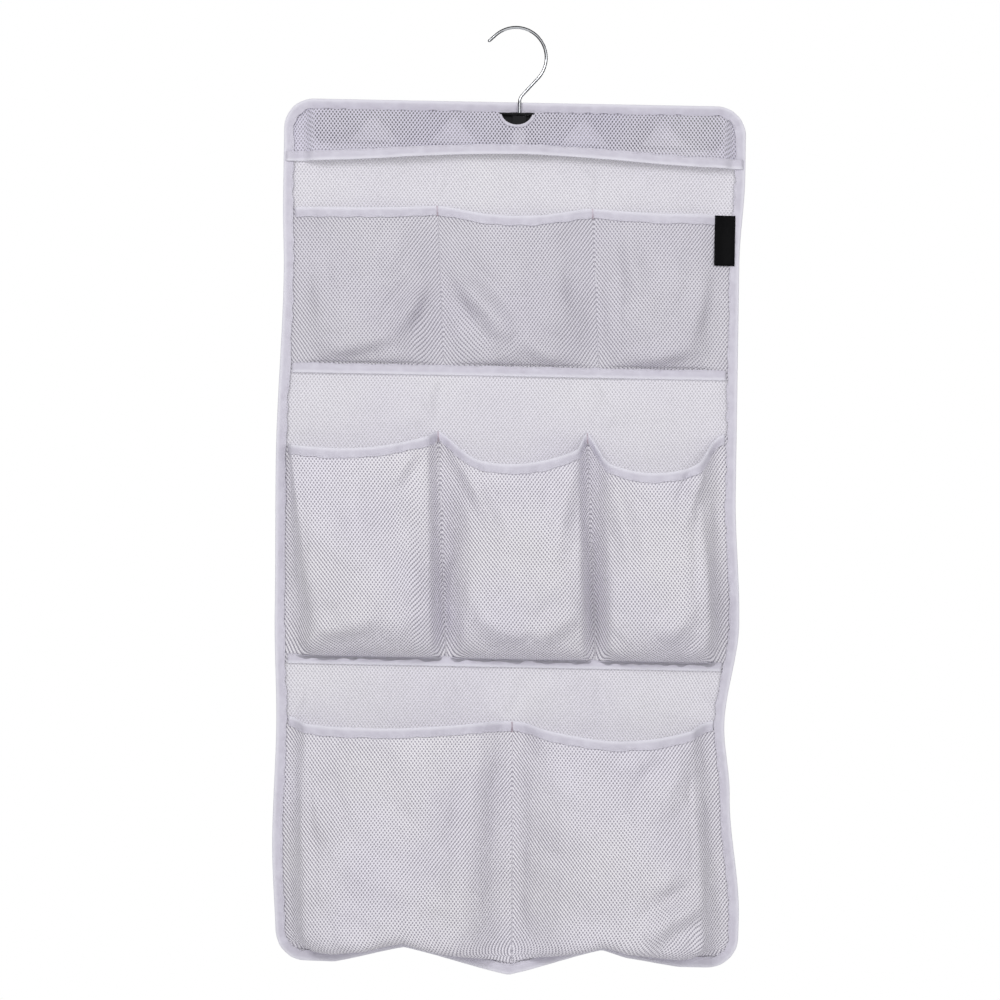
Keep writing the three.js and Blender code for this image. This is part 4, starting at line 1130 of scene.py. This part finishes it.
def seen_directly(tree):
    """One where the backdrop is seen straight, in a reflection or through something clear."""
    path = add_node(tree, "ShaderNodeLightPath").outputs
    mirrored = add_node(tree, "ShaderNodeMath", {
        0: path["Is Glossy Ray"], 1: path["Is Transmission Ray"]}, operation="MAXIMUM")
    return add_node(tree, "ShaderNodeMath", {0: path["Is Camera Ray"], 1: mirrored},
                    operation="MAXIMUM")


def matt_paper(tree):
    """Matt light grey paper that fades into the white backdrop, so that its rim isn't seen."""
    place = add_node(tree, "ShaderNodeTexCoord").outputs["Object"]
    flat = add_node(tree, "ShaderNodeVectorMath", {0: place, 1: (1, 1, 0)}, operation="MULTIPLY")
    far = add_node(tree, "ShaderNodeVectorMath", {0: flat}, operation="LENGTH").outputs["Value"]
    fade = add_node(tree, "ShaderNodeMapRange", {
        "Value": far, "From Min": FLOOR_FADE[0], "From Max": FLOOR_FADE[1]},
        interpolation_type="SMOOTHSTEP")
    share = add_node(tree, "ShaderNodeMath", {0: fade, 1: seen_directly(tree)},
                     operation="MULTIPLY")
    paper = add_node(tree, "ShaderNodeBsdfPrincipled", {
        "Base Color": [FLOOR_SHADE] * 3, "Roughness": 0.9})
    glow = add_node(tree, "ShaderNodeEmission", {"Color": (1, 1, 1), "Strength": 1.0})
    return add_node(tree, "ShaderNodeMixShader", {0: share, 1: paper, 2: glow})


def black_card(tree):
    """Matt black card, which only shows as dark lines along the hook's plating."""
    return add_node(tree, "ShaderNodeBsdfPrincipled", {
        "Base Color": (0.01, 0.01, 0.01), "Roughness": 0.9})


FINISHES = {made.__name__: made for made in (
    knitted_mesh, panel_mesh, sleeve_mesh, woven_tape, sewing_thread, bartack_thread, woven_label,
    moulded_plastic, plated_wire, matt_paper, black_card)}


def material(name):
    """The named finish, made once."""
    made = bpy.data.materials.get(name)
    if made is None:
        made = bpy.data.materials.new(name)
        made.use_nodes = True
        tree = made.node_tree
        tree.nodes.clear()
        add_node(tree, "ShaderNodeOutputMaterial", {"Surface": FINISHES[name](tree)})
    return made


def length_property(name, description, default):
    return FloatProperty(
        name=name, description=description, default=default, unit="LENGTH", precision=5)


def share_property(name, description, default, low=0, high=1):
    return FloatProperty(
        name=name, description=description, default=default, min=low, max=high, subtype="FACTOR")


def colour_property(name, description, colour):
    return FloatVectorProperty(
        name=name, description=description, default=linear(colour), subtype="COLOR", min=0, max=1)


class OrganiserClothSizes(PropertyGroup):
    hole_pitch_across: length_property(
        "Hole pitch across", "Distance between holes along one line of the mesh", 0.0034)
    hole_pitch_down: length_property(
        "Hole pitch down", "Distance between every second line of holes", 0.0046)
    hole_share: share_property(
        "Hole size", "Width of a hole as a share of the pitch", 0.42, 0.1, 0.6)
    hole_openness: share_property("Hole openness", "How clear of fibres a hole is", 0.27)
    sleeve_openness: share_property(
        "Sleeve openness", "How clear of fibres a hole over the bar is", 0.48)
    stitch_length: length_property("Stitch", "Length of one stitch", 0.0023)
    stitch_gap: length_property("Stitch gap", "Gap between two stitches", 0.0008)
    thread_radius: length_property("Thread radius", "Radius of the sewing thread", 0.0002)


class OrganiserFinish(PropertyGroup):
    mesh: colour_property("Mesh", "Colour of the mesh's yarns", 0xF3F1F5)
    mesh_cast: colour_property(
        "Mesh cast", "Colour of the yarns where the whitener shows", 0xF0EDF6)
    # Painted shade: the panel's yarn colours are a greyer copy of the mesh's
    panel: colour_property("Panel", "Colour of the panel's yarns", 0xE5E3E9)
    panel_cast: colour_property("Panel cast", "Colour of the panel's yarns in its shade", 0xE1DEE7)
    # Painted shade: the sleeve's yarn colours are darker and bluer for the dark bar behind them
    sleeve: colour_property("Sleeve", "Colour of the sleeve's yarns", 0xE5E2ED)
    sleeve_cast: colour_property(
        "Sleeve cast", "Colour of the sleeve's yarns in its shade", 0xDDD9EA)
    # Painted shade: the grey of the holes stands in for the dark seen through and within them
    hole_painted_shade: colour_property("Hole", "Colour of the fibres in the holes", 0xA29EAA)
    tape: colour_property("Tape", "Colour of the tapes", 0xD2CFDB)
    # Painted highlight along the tapes' folds
    tape_fold_highlight: colour_property("Tape fold", "Colour of the tapes along their folds", 0xDEDCE6)
    # Painted shade in the hollows of the tapes' bump
    tape_hollow_painted_shade: colour_property("Tape shade", "Colour of the tapes in their hollows", 0xC6C2CF)
    thread: colour_property("Thread", "Colour of the stitches", 0xD6D3DC)
    bartack: colour_property("Bartack", "Colour of the dense stitches at the seams' ends", 0xCDB6C0)
    wire: colour_property("Wire", "Colour of the hook's plating", 0xC6C8CC)


class ORGANISER_OT_back_panel(Operator):
    """Hangs the mesh back panel"""
    bl_idname = "organiser.back_panel"
    bl_label = "Back panel"

    def execute(self, context):
        grid, uv = panel_grid()
        add_cloth("panel_cloth", grid, uv, ["back_panel"], finish="panel_mesh")
        return {"FINISHED"}


class ORGANISER_OT_pockets(Operator):
    """Sews the three rows of pockets, each from one cloth"""
    bl_idname = "organiser.pockets"
    bl_label = "Pockets"

    def execute(self, context):
        for row in ROWS:
            grid = row_grid(row)
            nodes = [f"{row.name}_pocket_{pocket.place}" for pocket in row.pockets]
            # The small row takes the greyer copy of the mesh: painted shade for lying close to the
            # panel
            finish = "panel_mesh" if row is SMALL_ROW else "knitted_mesh"
            add_cloth(f"{row.name}_row_cloth", grid, cloth_uv(grid, len(row.pockets)), nodes,
                      pockets=len(row.pockets), finish=finish)
        return {"FINISHED"}


def in_notch(points):
    """Which points lie in the notch, or nearer to it than its tape is thick."""
    across = (points[:, 0] - NOTCH_X) / (NOTCH_HALF_WIDTH + NOTCH_TAPE_WALL)
    down = (points[:, 2] - NOTCH_TOP) / (NOTCH_DEPTH + NOTCH_TAPE_WALL)
    return (np.abs(across) < 1) & ((down > 0) | (across ** 2 + down ** 2 < 1))


class ORGANISER_OT_sleeve(Operator):
    """Sews the sleeve's flap in front of the bar and cuts the notch for the hook"""
    bl_idname = "organiser.sleeve"
    bl_label = "Sleeve"

    def execute(self, context):
        grid, uv = sleeve_grid()
        lines, columns = grid.shape[:2]
        points = grid.reshape(-1, 3)
        inside = in_notch(points)
        faces = [face for face in grid_faces(lines, columns) if not inside[face].any()]
        kept, faces = np.unique(faces, return_inverse=True)
        form = (points[kept], faces.reshape(-1, 4).tolist())
        add_piece("sleeve_cloth", form, "sleeve_mesh", "organiser", "mesh_fabric",
                  ["sleeve_front"], uv.reshape(-1, 2)[kept])
        return {"FINISHED"}


def row_tape_bed(row, foot):
    """The bed of the tape along a row's top edge, or along its foot."""
    grid = cloth_points(f"{row.name}_row_cloth")[:, 1:-1]
    return bed_of(grid[::-1][:, ::-1] if foot else grid)


def binding_bed():
    edge = panel_edge(CLOTH_STEP)
    run = unit(np.roll(edge, -1, axis=0) - np.roll(edge, 1, axis=0))
    inward = np.stack([run[:, 2], np.zeros(len(run)), -run[:, 0]], axis=-1)
    return flat_bed(edge, inward)


def hem_bed():
    """The hem's tape runs on over the panel's binding at both ends."""
    grid, _ = sleeve_grid()
    grid[..., 1] -= HEM_LIFT * smooth(1 - inside_binding(grid[..., 0]) / HEM_RAMP)
    return bed_of(grid[::-1][:, ::-1])


def notch_bed():
    low = math.asin(NOTCH_TAPE_TOP / NOTCH_DEPTH)
    turns = np.linspace(-math.pi + low, -low, 40)
    x = NOTCH_X + NOTCH_HALF_WIDTH * np.cos(turns)
    z = NOTCH_TOP + NOTCH_DEPTH * np.sin(turns)
    edge = np.stack([x, np.full_like(x, SLEEVE_Y), z], axis=-1)
    inward = np.stack([NOTCH_DEPTH * np.cos(turns), np.zeros_like(turns),
                       NOTCH_HALF_WIDTH * np.sin(turns)], axis=-1)
    return flat_bed(edge, unit(inward))


def corner_pucker():
    """How far the binding puckers along the panel's edge: most where it is gathered, round the
    corners."""
    x, _, z = np.abs(panel_edge(CLOTH_STEP) - [0, 0, PANEL_TOP - PANEL_HEIGHT / 2]).T
    into_corner = np.minimum(x - HALF_WIDTH, z - PANEL_HEIGHT / 2) / CORNER_RADIUS + 1
    return BINDING_PUCKER + CORNER_PUCKER * smooth(into_corner * 4)


def tapes():
    """Each folded tape: its name, its node, its bed and its measures."""
    usual = {"width": TAPE_WIDTH, "wall": TAPE_WALL, "low": -SLOT_HALF, "high": SLOT_HALF}
    for row in ROWS:
        name, node = f"{row.name}_top_binding", f"{row.name}_row_top_tape"
        yield name, node, row_tape_bed(row, False), usual
        if row is not LARGE_ROW:
            name, node = f"{row.name}_foot_binding", f"{row.name}_row_bottom_tape"
            yield name, node, row_tape_bed(row, True), usual
    yield "sleeve_hem", "sleeve_hem_tape", hem_bed(), usual
    yield "notch_binding", "notch_edging", notch_bed(), {
        **usual, "width": NOTCH_TAPE_WIDTH, "wall": NOTCH_TAPE_WALL}
    yield "panel_binding", "edge_binding", binding_bed(), {
        "width": BINDING_WIDTH, "wall": BINDING_WALL, "low": BINDING_LOW, "high": BINDING_HIGH,
        "closed": True, "pucker": corner_pucker(), "waver": 2.5}


class ORGANISER_OT_tapes(Operator):
    """Folds the tapes over the edges of the cloths and stitches them down"""
    bl_idname = "organiser.tapes"
    bl_label = "Tapes"

    def execute(self, context):
        sizes = context.scene.organiser_cloth
        for k, (name, node, bed, measures) in enumerate(tapes()):
            points, faces, uv = tape_form(bed, seed=100 + 10 * k, **measures)
            add_solid(name, (points, faces), "woven_tape", "organiser", "tape_fabric", [node], uv)
            place, normal = bed(measures["width"] * STITCH_AT)
            if measures.get("closed"):
                place, normal = np.vstack([place, place[:1]]), np.vstack([normal, normal[:1]])
            off = measures["wall"] - STITCH_DENT
            rows = []
            for level, side in ((measures["high"] + off, 1), (measures["low"] - off, -1)):
                line = place + normal * level
                facing = resample(line, CLOTH_STEP, normal * side)
                rows.append(stitch_form(resample(line, CLOTH_STEP), facing, sizes))
            add_solid(f"{name}_stitches", joined(rows), "sewing_thread", "organiser",
                      "seam_thread")
        return {"FINISHED"}


class ORGANISER_OT_seams(Operator):
    """Sews the rows to the panel between their pockets, with a bartack at each top"""
    bl_idname = "organiser.seams"
    bl_label = "Seams"

    def execute(self, context):
        sizes = context.scene.organiser_cloth
        for row in ROWS:
            grid = cloth_points(f"{row.name}_row_cloth")
            for k in range(1, len(row.pockets)):
                line = grid[:, k * (row.columns + 2)]
                last = len(line) - (1 if row is LARGE_ROW else row.lines[3])
                path = resample(line[row.lines[0]:last] - [0, CLOTH_HALF, 0], CLOTH_STEP)
                seam = stitch_form(path, np.broadcast_to(FORWARD, path.shape), sizes)
                place = f"_{('left', 'right')[k - 1]}" if len(row.seams) > 1 else ""
                add_solid(f"{row.name}_seam{place}_stitches", seam, "sewing_thread", "organiser",
                          "seam_thread", [f"{row.name}_row_seam{place}"])
                self.add_bartack(f"{row.name}_bartack{place}", line, sizes.thread_radius)
        return {"FINISHED"}

    @staticmethod
    def add_bartack(name, line, radius):
        """A dense zigzag of thread over the tape."""
        x = np.where(np.arange(BARTACK_TURNS) % 2, BARTACK_HALF_WIDTH, -BARTACK_HALF_WIDTH)
        z = np.linspace(BARTACK_OVERLAP / 2, -TAPE_WIDTH - BARTACK_OVERLAP, BARTACK_TURNS)
        top, below = line[0], line[4]
        slant = (below[0] - top[0]) / (below[2] - top[2])
        y = np.full(BARTACK_TURNS, top[1] - SLOT_HALF - TAPE_WALL - radius * 0.6)
        path = np.stack([top[0] + x + slant * z, y, top[2] + z], axis=-1)
        form = sweep_form(path, np.full(BARTACK_TURNS, radius * 1.5), STITCH_SIDES, FORWARD)
        add_solid(name, form, "bartack_thread", "organiser", "seam_thread")


class ORGANISER_OT_label(Operator):
    """Lays the bare label on the right end of the small row"""
    bl_idname = "organiser.label"
    bl_label = "Label"

    def execute(self, context):
        under = self.depth_finder(["small_row_cloth", "small_top_binding", "panel_binding"])
        lines, columns = LABEL_GRID
        x = LABEL_RIGHT - LABEL_WIDTH * (1 - np.linspace(0, 1, columns))
        z = LABEL_TOP - LABEL_HEIGHT * np.linspace(0, 1, lines)
        found = np.array([[under(a, b) for a in x] for b in z])
        smoothest = found.copy()
        for _ in range(LABEL_SMOOTHING):
            padded = np.pad(smoothest, 1, mode="edge")
            beside = padded[1:-1, :-2] + padded[1:-1, 2:]
            smoothest = np.minimum(found, (padded[:-2, 1:-1] + padded[2:, 1:-1] + beside) / 4)
        lower = smooth((LABEL_TOP - z) / LABEL_HEIGHT)[:, None]
        front = smoothest - LAYER_GAP - LABEL_LEAN * lower * np.linspace(1, 0.2, columns)
        outer = front - LABEL_THICKNESS
        corners = np.ones((lines, columns))
        corners[[0, -1]] = corners[:, [0, -1]] = LABEL_EDGE_SHARE
        middle = (front + outer) / 2
        wide, tall = np.meshgrid(x, z)
        points = np.concatenate([
            np.stack([wide, middle + (y - middle) * corners, tall], axis=-1).reshape(-1, 3)
            for y in (outer, front)])
        near = grid_faces(lines, columns)
        count = lines * columns
        far = [[k + count for k in face][::-1] for face in near]
        index = np.arange(count).reshape(lines, columns)
        rim = [*index[0], *index[1:, -1], *index[-1, -2::-1], *index[-2:0:-1, 0]]
        walls = [[a, b, b + count, a + count] for a, b in zip(rim, rim[1:] + rim[:1])]
        add_solid("label_ribbon", (points, near + far + walls), "woven_label", "organiser",
                  "label_fabric", ["side_label"], points[:, [0, 2]])
        return {"FINISHED"}

    @staticmethod
    def depth_finder(names):
        """How far back a straight line from the front goes before it meets one of the pieces."""
        trees = []
        for name in names:
            mesh = bpy.data.objects[name].data
            trees.append(BVHTree.FromPolygons(
                [v.co for v in mesh.vertices], [tuple(p.vertices) for p in mesh.polygons]))

        def under(x, z):
            start, way = Vector((x, IN_FRONT, z)), Vector((0, 1, 0))
            hits = [tree.ray_cast(start, way)[0] for tree in trees]
            return min([CLOTH_Y] + [hit.y for hit in hits if hit is not None])
        return under


class ORGANISER_OT_hanger_bar(Operator):
    """Finishes the moulded bar and the washer that carries the hook's head"""
    bl_idname = "organiser.hanger_bar"
    bl_label = "Hanger bar"

    def execute(self, context):
        for node, finish, rounding in (
            ("hanger_bar", "moulded_plastic", 0.0004), ("swivel_washer", "plated_wire", 0.0001),
        ):
            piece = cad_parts[node]
            piece.data.materials.clear()
            piece.data.materials.append(material(finish))
            flat = piece.modifiers.new("flat faces", "DECIMATE")
            flat.decimate_type = "DISSOLVE"
            flat.angle_limit = math.radians(2)
            edges = piece.modifiers.new("moulded edges", "BEVEL")
            edges.width = rounding
            edges.segments = 2
            edges.limit_method = "ANGLE"
            edges.angle_limit = math.radians(35)
            edges.harden_normals = True
        return {"FINISHED"}


class ORGANISER_OT_hook(Operator):
    """Bends the hook from one wire, with a rounded tip and an upset head"""
    bl_idname = "organiser.hook"
    bl_label = "Hook"

    def execute(self, context):
        path = hook_path()
        far = way_along(path)
        into_tip = np.maximum(WIRE_RADIUS - (far[-1] - far), 0)
        radii = np.sqrt(np.maximum(WIRE_RADIUS ** 2 - into_tip ** 2, 1e-9))
        radii[far < HEAD_THICKNESS] = HEAD_RADIUS
        form = sweep_form(path, radii, 24, -FORWARD)
        add_solid("hook_wire", form, "plated_wire", "hook", "hook_steel", ["swivel_hook"])
        return {"FINISHED"}


class ORGANISER_OT_cloth_records(Operator):
    bl_idname = "organiser.cloth_records"
    bl_label = "Cloth sizes"

    def execute(self, context):
        return {"FINISHED"}


class ORGANISER_OT_stage(Operator):
    """Sets the floor, the backdrop, the lamps and the camera"""
    bl_idname = "organiser.stage"
    bl_label = "Stage"

    def execute(self, context):
        self.add_world(context.scene)
        turns = np.linspace(0, TAU, 96, endpoint=False)
        self.add_sheet("floor", "matt_paper", [
            (FLOOR_RADIUS * math.cos(t), FLOOR_RADIUS * math.sin(t), FLOOR_Z) for t in turns])
        self.add_cards()
        self.add_lamps()
        self.add_camera(context.scene)
        context.scene.view_settings.view_transform = "Standard"
        return {"FINISHED"}

    @staticmethod
    def add_world(scene):
        """White where it is seen, and dimmer as a light."""
        world = bpy.data.worlds.new("white studio")
        scene.world = world
        world.use_nodes = True
        tree = world.node_tree
        tree.nodes.clear()
        around, white = (
            add_node(tree, "ShaderNodeBackground", {"Color": (1, 1, 1), "Strength": strength})
            for strength in (LIGHT_AROUND, 1.0))
        chosen = add_node(tree, "ShaderNodeMixShader", {
            0: seen_directly(tree), 1: around, 2: white})
        add_node(tree, "ShaderNodeOutputWorld", {"Surface": chosen})

    @staticmethod
    def add_sheet(name, finish, rim):
        mesh = bpy.data.meshes.new(name)
        mesh.from_pydata(rim, [], [list(range(len(rim)))])
        mesh.materials.append(material(finish))
        sheet = add_object(name, mesh)
        sheet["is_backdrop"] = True
        return sheet

    def add_cards(self):
        """Dark cards beside and above the hook that only its bright plating sees: they draw the
        dark lines along its wire."""
        (near, far), (low, high) = CARD_DEPTH, CARD_HEIGHT
        sides = ((near, low), (far, low), (far, high), (near, high))
        left, right = -CARD_REACH, CARD_REACH
        rims = {
            "card_left": [(left, y, z) for y, z in sides],
            "card_right": [(right, y, z) for y, z in sides],
            "card_above": [(left, near, high), (right, near, high), (right, far, high),
                           (left, far, high)],
        }
        for name, rim in rims.items():
            card = self.add_sheet(name, "black_card", rim)
            card.visible_camera = card.visible_diffuse = card.visible_shadow = False
            card.visible_transmission = False

    @staticmethod
    def add_lamps():
        for name, (place, size, power) in LAMPS.items():
            lamp = bpy.data.lights.new(name, "AREA")
            lamp.size = size
            lamp.energy = power
            thing = add_object(name, lamp)
            thing.location = place
            thing.rotation_mode = "QUATERNION"
            aim = Vector(LAMP_AIM) - thing.location
            thing.rotation_quaternion = aim.to_track_quat("-Z", "Y")

    @staticmethod
    def add_camera(scene):
        lens = bpy.data.cameras.new("camera")
        lens.sensor_width = SENSOR_WIDTH * 1000
        lens.lens = lens.sensor_width * CAMERA_DISTANCE / (PHOTO_SIZE * PHOTO_SCALE)
        camera = add_object("camera", lens)
        right = Vector((math.cos(CAMERA_ROLL), 0, math.sin(CAMERA_ROLL)))
        up = Vector((-math.sin(CAMERA_ROLL), 0, math.cos(CAMERA_ROLL)))
        back = right.cross(up)
        across, down = (PHOTO_SIZE / 2 - pixel for pixel in RAIL_PIXEL)
        place = (right * across - up * down) * PHOTO_SCALE + back * CAMERA_DISTANCE
        turned = Matrix((right, up, back)).transposed().to_4x4()
        camera.matrix_world = Matrix.Translation(place) @ turned
        scene.camera = camera


class ORGANISER_PT_sidebar(Panel):
    """Lists the pieces in the sidebar"""
    bl_idname = "ORGANISER_PT_sidebar"
    bl_label = "Hanging organiser"
    bl_space_type = "VIEW_3D"
    bl_region_type = "UI"
    bl_category = "Organiser"

    def draw(self, context):
        for group in (context.scene.organiser_cloth, context.scene.organiser_finish):
            for name in group.__annotations__:
                self.layout.prop(group, name)
        for operator in OPERATORS:
            self.layout.operator(operator.bl_idname)


OPERATORS = (
    ORGANISER_OT_back_panel, ORGANISER_OT_pockets, ORGANISER_OT_sleeve, ORGANISER_OT_tapes,
    ORGANISER_OT_seams, ORGANISER_OT_label, ORGANISER_OT_hanger_bar, ORGANISER_OT_hook,
    ORGANISER_OT_cloth_records, ORGANISER_OT_stage,
)
CLASSES = (OrganiserClothSizes, OrganiserFinish, *OPERATORS, ORGANISER_PT_sidebar)


def register():
    for made in CLASSES:
        bpy.utils.register_class(made)
    bpy.types.Scene.organiser_cloth = PointerProperty(type=OrganiserClothSizes)
    bpy.types.Scene.organiser_finish = PointerProperty(type=OrganiserFinish)


def unregister():
    del bpy.types.Scene.organiser_finish
    del bpy.types.Scene.organiser_cloth
    for made in reversed(CLASSES):
        bpy.utils.unregister_class(made)


def main():
    register()
    for operator in OPERATORS:
        group, name = operator.bl_idname.split(".")
        getattr(getattr(bpy.ops, group), name)()
    boxes = {"cad": CAD_BOX, "visual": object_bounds()}
    {name: [list(corner) for corner in box] for name, box in boxes.items()}


if __name__ == "__main__":
    main()
